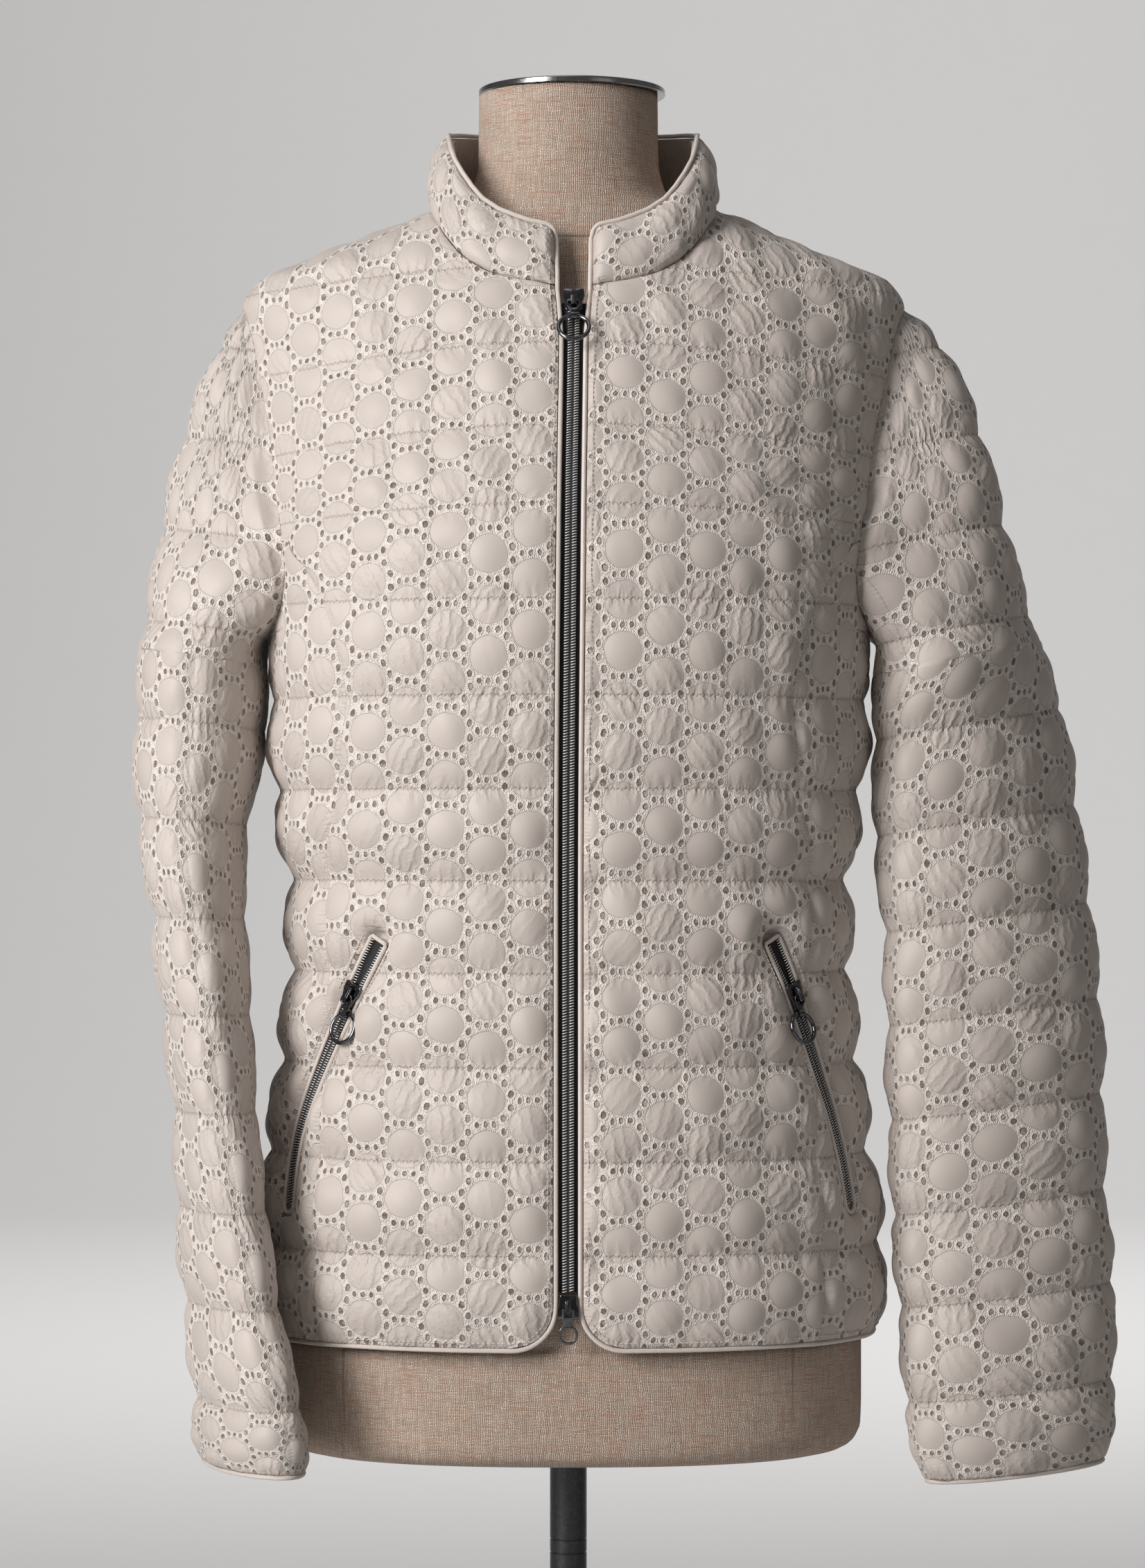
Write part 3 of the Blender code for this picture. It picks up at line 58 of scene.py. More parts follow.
# ---------------------------------------------------------------- sizes shared with the part
WALL, LINING_WALL, GAP, EDGE = 2.0 * MM, 1.0 * MM, 0.3 * MM, 12.0 * MM
FRONT_PUFF, SIDE_PUFF, ARM_PUFF, COLLAR_PUFF = 4.2 * MM, 6.5 * MM, 4.2 * MM, 4.5 * MM
PIPE = 1.6 * MM
HEM_Z, HEM_CORNER, FRONT_EDGE, FRONT_OPEN = 36.70 * CM, 2.2 * CM, 8.1 * MM, 10.5 * MM
UNDERARM_Z, SHOULDER_Z, NECK_Z, HPS_Z = 74.8 * CM, 93.0 * CM, 93.4 * CM, 98.5 * CM
SIDE_TOP_Z, UNDERARM_FADE, COLLAR_CORNER = 79.7 * CM, 5.0 * CM, 6.0 * MM
ZIP_TOP, ZIP_BOTTOM, TAPE_HALF = 92.45 * CM, 39.35 * CM, 7.6 * MM
TOP_SLIDER, BOTTOM_SLIDER = 92.45 * CM, 38.9 * CM

QUILT_Z = (36.75, 41.5, 46.47, 51.44, 56.41, 61.35, 66.25, 71.2, 76.27, 81.35, 85.67, 90.19,
           94.5, 98.8)
BODY_COLUMNS = ("z", "half_width", "front", "back", "front_power", "back_power")
BODY_ROWS = (
    (36.0, 17.0, 12.2, 11.6, 2.40, 2.3),
    (42.0, 16.9, 12.2, 11.4, 2.40, 2.3),
    (47.0, 16.2, 12.1, 10.8, 2.40, 2.3),
    (52.0, 15.5, 11.8, 9.8, 2.40, 2.3),
    (57.0, 15.1, 11.5, 9.0, 2.40, 2.3),
    (61.0, 15.1, 11.4, 8.8, 2.40, 2.3),
    (65.0, 15.7, 11.7, 9.2, 2.40, 2.3),
    (70.0, 16.2, 12.3, 10.0, 2.38, 2.3),
    (74.8, 16.6, 12.8, 10.7, 2.35, 2.3),
    (79.0, 16.9, 12.7, 11.0, 2.30, 2.25),
    (82.0, 17.1, 12.2, 11.0, 2.15, 2.2),
    (85.7, 17.4, 10.8, 10.9, 1.97, 2.1),
    (89.0, 17.9, 9.7, 10.4, 1.87, 2.0),
    (92.0, 18.25, 8.7, 9.8, 1.80, 1.9),
    (93.0, 18.35, 8.3, 9.5, 1.78, 1.87),
    (94.5, 17.45, 7.7, 9.0, 1.75, 1.85),
    (95.5, 15.2, 7.3, 8.5, 1.74, 1.83),
    (96.5, 12.6, 6.9, 7.9, 1.73, 1.82),
    (97.5, 10.1, 6.5, 7.2, 1.72, 1.81),
    (98.5, 7.7, 6.1, 6.5, 1.70, 1.80),
    (99.0, 6.6, 5.9, 6.2, 1.70, 1.80),
)
FORM_ROWS = (
    (30.00, 14.4, 9.3, 9.0, 2.40, 2.3),
    (30.20, 15.2, 10.1, 9.8, 2.40, 2.3),
    (30.60, 15.8, 10.7, 10.4, 2.40, 2.3),
    (31.40, 16.15, 11.0, 10.7, 2.40, 2.3),
    (33.00, 16.2, 11.1, 10.8, 2.40, 2.3),
    (36.40, 16.2, 11.2, 10.8, 2.40, 2.3),
    (42.00, 15.8, 11.0, 10.5, 2.40, 2.3),
    (47.00, 15.1, 10.7, 9.8, 2.40, 2.3),
    (52.00, 14.2, 10.3, 8.8, 2.40, 2.3),
    (57.00, 13.3, 10.0, 8.0, 2.40, 2.3),
    (61.00, 13.1, 9.9, 7.7, 2.40, 2.3),
    (65.00, 13.6, 10.3, 8.1, 2.40, 2.3),
    (70.00, 14.8, 11.2, 9.1, 2.38, 2.3),
    (74.80, 15.7, 11.9, 9.9, 2.35, 2.3),
    (79.00, 16.2, 11.8, 10.3, 2.30, 2.25),
    (82.00, 16.5, 11.2, 10.3, 2.15, 2.2),
    (85.70, 16.9, 9.8, 10.2, 1.97, 2.1),
    (89.00, 17.3, 8.8, 9.7, 1.87, 2.0),
    (91.50, 17.35, 7.6, 8.9, 1.80, 1.9),
    (92.80, 17.25, 6.9, 8.2, 1.60, 1.65),
    (94.27, 16.75, 6.4, 7.8, 1.50, 1.55),
    (95.27, 15.02, 6.2, 7.5, 1.50, 1.55),
    (96.27, 12.44, 5.8, 7.0, 1.60, 1.60),
    (97.27, 9.90, 5.4, 6.4, 1.75, 1.75),
    (98.05, 7.50, 5.15, 5.7, 1.88, 1.9),
    (98.70, 6.10, 5.0, 5.2, 1.94, 1.95),
    (99.50, 5.35, 4.95, 5.0, 2.0, 2.0),
    (101.0, 5.00, 4.95, 4.95, 2.0, 2.0),
    (104.75, 4.95, 4.95, 4.95, 2.0, 2.0),
)
ARMHOLE_COLUMNS = ("z", "before", "behind")
ARMHOLE_ROWS = (
    (74.80, 0.0, 0.0), (74.95, 2.4, 2.4), (75.5, 4.4, 4.6), (76.5, 5.6, 6.0), (78.0, 6.0, 6.8),
    (80.0, 5.6, 7.0), (83.0, 4.2, 6.4), (86.0, 3.1, 5.5), (89.0, 2.3, 4.3), (91.0, 1.7, 3.2),
    (92.5, 0.9, 1.6), (93.0, 0.0, 0.0),
)
NECKLINE = ((93.40, 1.05), (93.60, 2.5), (94.17, 4.6), (95.40, 6.3), (97.20, 7.4), (98.50, 7.7))
PRINCESS = ((36.0, 13.4), (42.0, 13.5), (47.0, 13.2), (52.0, 12.8), (57.0, 12.8), (62.0, 12.8),
            (66.0, 12.3), (71.0, 11.9), (75.0, 12.7), (78.0, 14.1), (80.0, 15.6))
COLLAR_ROWS = ((0.0, 3.2, 0.9), (0.2, 3.4, 0.9), (0.45, 3.7, 0.7), (0.7, 4.4, 0.5), (1.0, 4.9, 0.3))

ARM_COLUMNS = ("z", "x", "y", "long", "short", "turn", "tilt")
LEFT_ARM = (
    (73.5, 21.45, 0.0, 6.5, 3.95, 28, 12),
    (69.9, 22.05, -0.2, 6.4, 3.75, 45, 10),
    (64.6, 22.6, -0.6, 6.4, 3.55, 54, 9),
    (59.3, 23.15, -1.1, 6.35, 3.45, 58, 8),
    (54.1, 23.45, -1.5, 6.35, 3.30, 64, 7),
    (48.9, 23.6, -1.9, 6.25, 3.20, 66, 6.5),
    (43.7, 23.75, -2.3, 6.2, 3.10, 68, 6),
    (38.65, 23.95, -2.7, 6.05, 3.00, 70, 5.5),
    (33.45, 24.15, -3.1, 5.85, 2.85, 70, 5),
    (29.2, 24.45, -3.4, 5.3, 2.60, 70, 4.5),
)
RIGHT_ARM = (
    (73.5, 20.25, 0.0, 6.5, 3.30, 0, 8),
    (69.9, 20.3, -0.4, 6.4, 3.40, 0, 6),
    (64.6, 20.6, -1.3, 6.3, 2.80, 0, 4),
    (59.3, 20.2, -2.4, 6.2, 2.35, 2, 2),
    (54.1, 19.7, -3.6, 6.1, 2.25, 5, 1),
    (48.9, 19.15, -4.9, 6.0, 2.05, 8, 0),
    (43.7, 18.65, -6.3, 5.9, 2.00, 13, 0),
    (38.65, 18.05, -7.6, 5.75, 1.95, 18, -1),
    (33.45, 17.15, -8.7, 5.6, 2.00, 23, -1),
    (30.2, 16.85, -9.1, 5.35, 2.05, 26, -1),
)
ARM_LINES = {1: (73.5, 69.9, 64.6, 59.3, 54.1, 48.9, 43.7, 38.65, 33.45, 29.2),
             -1: (73.5, 69.9, 64.6, 59.3, 54.1, 48.9, 43.7, 38.65, 33.45, 30.2)}
ARM_PITCH, FIRST_ARM_LINE = 5.2 * CM, 75.1 * CM
FRONT_SEAM_Z, BACK_SEAM_Z = 78.1 * CM, 80.0 * CM
# how a cap leaves the armhole: outwards under the arm and over it, share of the normal, reach
CAP_LEAVES = {1: (0.707, 0.707, 0.30, 0.87), -1: (0.707, 0.43, 0.20, 0.82)}

POCKET_COLUMNS = ("z", "right", "left")
POCKET_ROWS = (
    (58.1, 10.2, 11.0), (56.1, 11.2, 11.85), (54.6, 11.9, 12.35), (52.8, 12.7, 12.95),
    (50.8, 13.55, 13.6), (48.8, 14.3, 14.25), (47.1, 14.75, 14.7), (45.5, 15.0, 15.05),
    (43.9, 15.15, 15.3),
)
SLIT_HALF, LIP_HALF, POCKET_SLIDER, POCKET_STEPS = 7.4 * MM, 5.3 * MM, 0.20, 12
SWAY = ((36.0, 0.0), (60.0, 0.0), (80.0, 0.15), (93.0, 0.3), (98.5, 0.3), (105.2, 0.2))
NECK_TOP = 104.75 * CM

# ---------------------------------------------------------------- sizes of the finish alone
STEP = 1.8 * MM              # grid of the cloth's outer skin
COARSE = 8                   # grid steps to one of the inner skin's
CHANNEL = 50.0 * MM          # cloth from one quilting line to the next
COLUMN, PITCH, DISC = 22.2 * MM, 26.4 * MM, 10.2 * MM  # columns of discs, spacing in one, radius
DOME = 1.4 * MM              # a disc stands out this far in its middle
DROOP = 1.3 * CM             # the chest's quilting lines come down this far at the side
SINK = 5.2 * MM              # depth of a pocket's slit
COIL = 1.5 * MM              # from one tooth of a zip to the next
THREAD = 2.7 * MM            # from one stitch to the next
SEAM_CLEAR = 0.04 * MM       # from a cut edge to its seam
SOFT_KEPT = 0.7              # share of the padding's height left at a soft seam: a princess seam
                             # or a sleeve's front one
NO_SEAM = 30 * MM            # farther from a seam than its valley is wide
CORD = 1.3 * MM              # radius of the piping
CLOTH_SHARP, TURNED_SHARP, CAST_SHARP = (math.radians(a) for a in (55, 40, 50))
COLLAR_TALL, COLLAR_CUT = 4.4 * CM, 4.9 * CM  # the pattern's height on it, its piece as cut


# ---------------------------------------------------------------- tables and curves
def smooth(xs, ys, x):
    """Value at x of a cubic through a table's rows that never overshoots them."""
    xs, ys = np.asarray(xs, float), np.asarray(ys, float)
    step = np.diff(xs)
    rise = np.diff(ys) / step
    slope = np.zeros(len(xs))
    same = rise[1:] * rise[:-1] > 0
    slope[1:-1][same] = 2 * (rise[1:] * rise[:-1])[same] / (rise[1:] + rise[:-1])[same]
    slope[0], slope[-1] = rise[0], rise[-1]
    x = np.clip(x, xs[0], xs[-1])
    i = np.clip(np.searchsorted(xs, x, "right") - 1, 0, len(step) - 1)
    t = (x - xs[i]) / step[i]
    return ((1 + 2 * t) * (1 - t) ** 2 * ys[i] + t * (1 - t) ** 2 * step[i] * slope[i]
            + t * t * (3 - 2 * t) * ys[i + 1] + t * t * (t - 1) * step[i] * slope[i + 1])


def read(rows, columns, name, z, unit_=CM):
    """One column of a table at height z (metres), by its first column in cm."""
    data = np.array(rows)
    order = np.argsort(data[:, 0])
    return smooth(data[order, 0] * CM, data[order, columns.index(name)], z) * unit_


def pair(rows, z):
    return smooth([r[0] * CM for r in rows], [r[1] * CM for r in rows], z)


def unit(v):
    return v / np.maximum(np.linalg.norm(v, axis=-1, keepdims=True), 1e-12)


def run_along(points):
    """Distance along a line of points, from its first."""
    return np.concatenate([[0], np.linalg.norm(np.diff(points, axis=0), axis=1).cumsum()])


def between(at, run, values, period=None):
    """A line's points or directions at distances along it."""
    return np.stack([np.interp(at, run, values[:, k], period=period) for k in range(3)], axis=-1)


def full_turn(sides):
    return np.linspace(0, 2 * math.pi, sides, endpoint=False)


def mirrored(side):
    """What a point for the wearer's left is multiplied by on a side."""
    return np.array([side, 1, 1])


def shade(colour, factor):
    return tuple(factor * c for c in colour)


def fade(x, low, high):
    """0 at low, 1 at high, eased at both."""
    t = np.clip((np.asarray(x, float) - low) / (high - low), 0, 1)
    return t * t * (3 - 2 * t)


def waves(u, v, wide, tall, seed):
    """Soft random heights from -1 to 1, about wide by tall from one to the next."""
    table = np.random.RandomState(seed).uniform(-1, 1, (64, 64))
    a, b = np.asarray(u) / wide + 7.3, np.asarray(v) / tall + 3.1
    i, j = np.floor(a).astype(int), np.floor(b).astype(int)
    s, t = a - i, b - j
    s, t = s * s * (3 - 2 * s), t * t * (3 - 2 * t)
    corner = [[table[(i + m) % 64, (j + n) % 64] for n in (0, 1)] for m in (0, 1)]
    return ((corner[0][0] * (1 - s) + corner[1][0] * s) * (1 - t)
            + (corner[0][1] * (1 - s) + corner[1][1] * s) * t)


class Torso:
    """A closed loft of level sections. q runs round it: 0 middle front, 1 the wearer's left side,
    2 middle back, and -1 the right side; it measures length evenly within each quarter."""

    QUARTER = 160

    def __init__(self, rows, low, high):
        self.z = np.linspace(low, high, int(round((high - low) / MM)) + 1)
        names = BODY_COLUMNS
        wide, front, back = (read(rows, names, n, self.z) for n in names[1:4])
        front_power, back_power = (read(rows, names, n, self.z, 1.0) for n in names[4:])
        turn = np.linspace(0.0, math.pi / 2, 240)
        share = np.linspace(0.0, 1.0, self.QUARTER + 1)
        quarters, self.lengths = [], []
        for depth, power, sign in ((front, front_power, -1), (back, back_power, 1)):
            e = 2.0 / power[:, None]
            x = wide[:, None] * np.sin(turn) ** e
            y = sign * depth[:, None] * np.abs(np.cos(turn)) ** e
            run = np.hypot(np.diff(x, axis=1), np.diff(y, axis=1)).cumsum(axis=1)
            run = np.hstack([np.zeros((len(x), 1)), run])
            at = [np.interp(share * r[-1], r, np.arange(len(turn))) for r in run]
            quarters.append([np.array([np.interp(a, np.arange(len(turn)), row)
                                       for a, row in zip(at, values)]) for values in (x, y)])
            self.lengths.append(run[:, -1])
        self.grid = [np.hstack([quarters[0][k], quarters[1][k][:, -2::-1]]) for k in (0, 1)]

    def point(self, q, z):
        q, z = np.broadcast_arrays(np.asarray(q, float), np.asarray(z, float))
        q = (q + 2.0) % 4.0 - 2.0
        side = np.where(q < 0, -1.0, 1.0)
        u = np.clip(np.abs(q) * self.QUARTER, 0, 2 * self.QUARTER - 1e-6)
        v = np.clip((z - self.z[0]) / MM, 0, len(self.z) - 1 - 1e-6)
        i, j = v.astype(int), u.astype(int)
        fi, fj = v - i, u - j
        x, y = (g[i, j] * (1 - fi) * (1 - fj) + g[i, j + 1] * (1 - fi) * fj
                + g[i + 1, j] * fi * (1 - fj) + g[i + 1, j + 1] * fi * fj for g in self.grid)
        return np.stack([side * x, y, z], axis=-1)

    def normal(self, q, z):
        dq, dz = 0.006, 1.0 * MM
        across = self.point(q + dq, z) - self.point(q - dq, z)
        up = self.point(q, np.minimum(z + dz, self.z[-1])) - self.point(q, z - dz)
        return unit(np.cross(across, up))

    def length(self, z, back=False):
        return np.interp(z, self.z, self.lengths[1 if back else 0])

    def q_at_x(self, x, z):
        row = self.point(np.linspace(0, 1, 201), z)[:, 0]
        return float(np.interp(x, row, np.linspace(0, 1, 201)))

    def q_at_y(self, y, z):
        """Where the section is y forward (negative) or behind the side line."""
        share = np.linspace(0, 2, 401)
        return float(np.interp(y, self.point(share, z)[:, 1], share))


body = Torso(BODY_ROWS, 0.360, 0.990)
form = Torso(FORM_ROWS, 0.300, 1.0475)


def sway(points):
    """The garment hangs a little to the wearer's left at the shoulders."""
    points = np.array(points, float)
    points[..., 0] += pair(SWAY, points[..., 2])
    return points


def flat(q, z):
    """Distances in the cloth near one side: along the level from the side line, and height."""
    q, z = np.asarray(q, float), np.asarray(z, float)
    along = np.where(q < 1, (q - 1) * body.length(z), (q - 1) * body.length(z, True))
    return np.stack([along, z], axis=-1)


def unflat(points):
    z, along = points[..., 1], points[..., 0]
    return 1 + np.where(along < 0, along / body.length(z), along / body.length(z, True)), z


def pocket_path(side, steps=POCKET_STEPS):
    """The pocket zip's (q, z) on one side, top to bottom."""
    name = "left" if side > 0 else "right"
    levels = np.linspace(POCKET_ROWS[0][0], POCKET_ROWS[-1][0], steps + 1) * CM
    x = read(POCKET_ROWS, POCKET_COLUMNS, name, levels)
    return np.array([body.q_at_x(a, b) for a, b in zip(x, levels)]), levels


POCKET_FLAT = {side: flat(*pocket_path(side)) for side in (1, -1)}


def from_zip(q, z):
    """Distance in the cloth from the middle of the nearest pocket zip."""
    q, z = np.broadcast_arrays(np.asarray(q, float), np.asarray(z, float))
    place = flat(np.abs(q), z)
    nearest = np.full(q.shape, np.inf)
    for side, path in POCKET_FLAT.items():
        for a, b in zip(path[:-1], path[1:]):
            t = np.clip(((place - a) @ (b - a)) / ((b - a) @ (b - a)), 0, 1)
            gap = np.linalg.norm(place - a - t[..., None] * (b - a), axis=-1)
            nearest = np.where(q * side > 0, np.minimum(nearest, gap), nearest)
    return nearest


# ---------------------------------------------------------------- seam lines of the body, as q(z)
def front_edge_x(z):
    x = np.interp(z, (90.5 * CM, NECK_Z), (FRONT_EDGE, FRONT_OPEN))
    if z < HEM_Z + HEM_CORNER:
        x += HEM_CORNER - math.sqrt(max(HEM_CORNER ** 2 - (HEM_CORNER - (z - HEM_Z)) ** 2, 0))
    return float(x)


def princess_q(z):
    return body.q_at_x(float(pair(PRINCESS, z)), z)


def armhole_q(z, back=False):
    name = "behind" if back else "before"
    y = float(read(ARMHOLE_ROWS, ARMHOLE_COLUMNS, name, z))
    return body.q_at_y(y if back else -y, z)


def front_inner_q(z):
    return body.q_at_x(front_edge_x(z) if z < NECK_Z else float(pair(NECKLINE, z)), z)


def front_outer_q(z):
    if z >= SHOULDER_Z:
        return 1.0
    return armhole_q(z) if z > SIDE_TOP_Z else princess_q(z)


def side_outer_q(z):
    return armhole_q(z) if z > UNDERARM_Z + MM else 1.0


def back_outer_q(z):
    return armhole_q(z, True) if UNDERARM_Z + MM < z < SHOULDER_Z - MM else 1.0


# ---------------------------------------------------------------- shape of the padded cloth
def channels(q, z):
    """Quilting channels up from the hem; over the chest the lines droop towards the sides."""
    share = np.sin(math.pi * np.minimum(np.abs(q) % 4, 2) / 2) ** 2
    droop = DROOP * share * fade(z, 76 * CM, 84 * CM) * (1 - fade(z, 91 * CM, 98 * CM))
    return np.interp(z + droop, np.array(QUILT_Z) * CM, np.arange(len(QUILT_Z)))


def from_line(line):
    """Distance in the cloth from the nearest quilting line."""
    return np.abs(line - np.round(line)) * CHANNEL


def seam_share(hard, soft):
    """Share of the padding's height left beside seams: none at a hard one, most at a soft one."""
    valley = np.sin(np.clip(hard / (1.3 * EDGE), 0, 1) * math.pi / 2) ** 0.8
    dip = SOFT_KEPT + (1 - SOFT_KEPT) * np.sin(np.clip(soft / EDGE, 0, 1) * math.pi / 2)
    return np.minimum(valley, dip)


def body_puff(q, z, line, edge, soft):
    """How far the padded cloth stands out; edge is the distance to the panel's seams and soft that
    to the princess seam."""
    side = np.sin(math.pi * np.abs(q) / 2) ** 2
    near = np.clip(1.6 * (1 - np.abs(np.abs(q) % 2 - 1) / 0.5), 0, 1)
    under = np.clip((UNDERARM_Z - z) / UNDERARM_FADE, 0, 1)
    height = (FRONT_PUFF + (SIDE_PUFF - FRONT_PUFF) * side) * (1 - near * (1 - under))
    height = height * (1 - 0.6 * fade(z, 62 * CM, 74 * CM) * (1 - fade(np.abs(q), 0.6, 1.0)))
    return height * np.sin(math.pi * (line % 1.0)) ** 0.9 * seam_share(edge, soft)


def nearest_disc(u, v):
    """Distance from the middle of the nearest disc of the lace."""
    def wrapped(x, span):
        return (x + span / 2) % span - span / 2
    first = np.hypot(wrapped(u, 2 * COLUMN), wrapped(v, PITCH))
    second = np.hypot(wrapped(u + COLUMN, 2 * COLUMN), wrapped(v + PITCH / 2, PITCH))
    return np.minimum(first, second)


def relief(u, v, line, edge, seed):
    """Height of the discs' domes, the pleats at the quilting lines and the larger folds."""
    r = nearest_disc(u, v) / DISC
    dome = DOME * np.where(r < 1, 1 - r * r, 0.0)
    near = np.exp(-(from_line(line) / (6 * MM)) ** 2)
    pleats = 0.45 * MM * near * waves(u, v, 3.0 * MM, 24 * MM, seed)
    folds = 1.1 * MM * waves(u + 0.35 * v, v, 15 * MM, 46 * MM, seed + 1) * (1 - 0.5 * near)
    swell = 0.9 * MM * waves(u, v, 60 * MM, 52 * MM, seed + 2)
    return (dome * (1 - 0.6 * near) + pleats + folds + swell) * fade(edge, 0, 5 * MM)


# ---------------------------------------------------------------- meshes
def placed(name, data):
    """A new object in the scene."""
    obj = bpy.data.objects.new(name, data)
    bpy.context.scene.collection.objects.link(obj)
    return obj


def filled(mesh, bm):
    bm.to_mesh(mesh)
    bm.free()
    return mesh


def evaluated(obj):
    """The mesh of a curve, or of an object with its modifier."""
    bpy.context.view_layer.update()
    graph = bpy.context.evaluated_depsgraph_get()
    return bpy.data.meshes.new_from_object(obj.evaluated_get(graph))


def taken_off(obj):
    """The mesh of an object that is taken off the scene."""
    mesh = obj.data
    bpy.data.objects.remove(obj, do_unlink=True)
    return mesh


def rim(fine, coarse, places):
    """Triangles between a fine row of points and a coarse one that lies under places of it."""
    faces = []
    for j, (a, b) in enumerate(zip(places[:-1], places[1:])):
        mid = (a + b) // 2
        faces += [(fine[i], fine[i + 1], coarse[j]) for i in range(a, mid)]
        faces.append((coarse[j], fine[mid], coarse[j + 1]))
        faces += [(fine[i], fine[i + 1], coarse[j + 1]) for i in range(mid, b)]
    return faces


def quads(number):
    return np.stack([number[:-1, :-1], number[:-1, 1:], number[1:, 1:], number[1:, :-1]],
                    axis=-1).reshape(-1, 4).tolist()


def every(count, step):
    return sorted({*range(0, count, step), count - 1})


def whole(name, points, faces, materials, second_from=None):
    """A closed mesh with its faces outwards; faces from number second_from take material two."""
    mesh = bpy.data.meshes.new(name)
    mesh.from_pydata(points, [], faces)
    for material in materials:
        mesh.materials.append(material)
    if second_from is not None:
        index = np.zeros(len(faces), np.int32)
        index[second_from:] = 1
        mesh.polygons.foreach_set("material_index", index)
    bm = bmesh.new()
    bm.from_mesh(mesh)
    bmesh.ops.recalc_face_normals(bm, faces=bm.faces)
    if bm.calc_volume(signed=True) < 0:
        bmesh.ops.reverse_faces(bm, faces=bm.faces)
    filled(mesh, bm).shade_smooth()
    return placed(name, mesh)


def map_cloth(obj, uv, **fields):
    """The cloth's own places as a UV map in metres, and any other field as a point attribute."""
    mesh = obj.data
    corner = np.empty(len(mesh.loops), np.int32)
    mesh.loops.foreach_get("vertex_index", corner)
    layer = mesh.uv_layers.new(name="cloth")
    layer.data.foreach_set("uv", np.asarray(uv, np.float32)[corner].ravel())
    for name, values in fields.items():
        attribute = mesh.attributes.new(name, "FLOAT", "POINT")
        attribute.data.foreach_set("value", np.asarray(values, np.float32))


def settle(obj, slot, *nodes, rides=BODY):
    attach(obj, rides)
    if nodes:
        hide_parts(*nodes)
    return obj


def cloth(name, place, out, height, wall, uv, line, edge, materials, swayed=True):
    """A wall of cloth on rows by columns of places: a fine outer skin, a plain coarse inner one."""
    rows, cols = place.shape[:2]
    r, c = every(rows, COARSE), every(cols, COARSE)
    move = sway if swayed else np.array
    top = move(place + out * np.asarray(height)[..., None]).reshape(-1, 3)
    under = move((place - out * wall)[np.ix_(r, c)]).reshape(-1, 3)
    number = np.arange(rows * cols).reshape(rows, cols)
    below = rows * cols + np.arange(len(r) * len(c)).reshape(len(r), len(c))
    faces = quads(number)
    outer = len(faces)
    faces += quads(below[:, ::-1])
    for fine, coarse, places in ((number[0], below[0], c), (number[-1], below[-1], c),
                                 (number[:, 0], below[:, 0], r), (number[:, -1], below[:, -1], r)):
        faces += rim(fine.tolist(), coarse.tolist(), places)
    obj = whole(name, np.vstack([top, under]), faces, materials, outer)

    def both(values):
        values = np.broadcast_to(values, (rows, cols))
        return np.concatenate([values.ravel(), values[np.ix_(r, c)].ravel()])
    map_cloth(obj, np.stack([both(uv[0]), both(uv[1])], axis=-1), line=both(line), edge=both(edge))
    obj.data.set_sharp_from_angle(angle=CLOTH_SHARP)
    return obj


def loft(name, rings, material, closed=False):
    """A solid through rings of points, its ends closed unless it is a loop. Its UV map runs round
    and along it."""
    rings = np.asarray(rings)
    rows, cols = rings.shape[:2]
    number = np.arange(rows * cols).reshape(rows, cols)
    wrapped = np.hstack([number, number[:, :1]])
    if closed:
        wrapped = np.vstack([wrapped, wrapped[:1]])
    faces = quads(wrapped)
    if not closed:
        faces += [number[0].tolist(), number[-1].tolist()]
    obj = whole(name, rings.reshape(-1, 3), faces, [material])
    middle = rings.mean(axis=1)
    along = run_along(middle)
    around = np.linalg.norm(rings[0] - np.roll(rings[0], 1, axis=0), axis=-1).sum()
    u = np.tile(np.arange(cols) / cols * around, (rows, 1))
    map_cloth(obj, np.stack([u.ravel(), np.repeat(along, cols)], axis=-1))
    return obj


def cord_rings(middle, out, normals, radius, sides=10):
    """Rings of a piping: round its middle line, out and normals being two ways across it."""
    turn = full_turn(sides)
    return (middle[:, None] + (normals[:, None] * np.cos(turn)[:, None]
                               + out[:, None] * np.sin(turn)[:, None]) * radius)


def turned(name, profile, material, shift=0.0, sides=72):
    """A turned solid from (radius, height) pairs."""
    turn = full_turn(sides)
    rings = [np.stack([shift + r * np.cos(turn), r * np.sin(turn), np.full(sides, z)], axis=-1)
             for r, z in profile]
    obj = loft(name, rings, material)
    obj.data.set_sharp_from_angle(angle=TURNED_SHARP)
    return obj


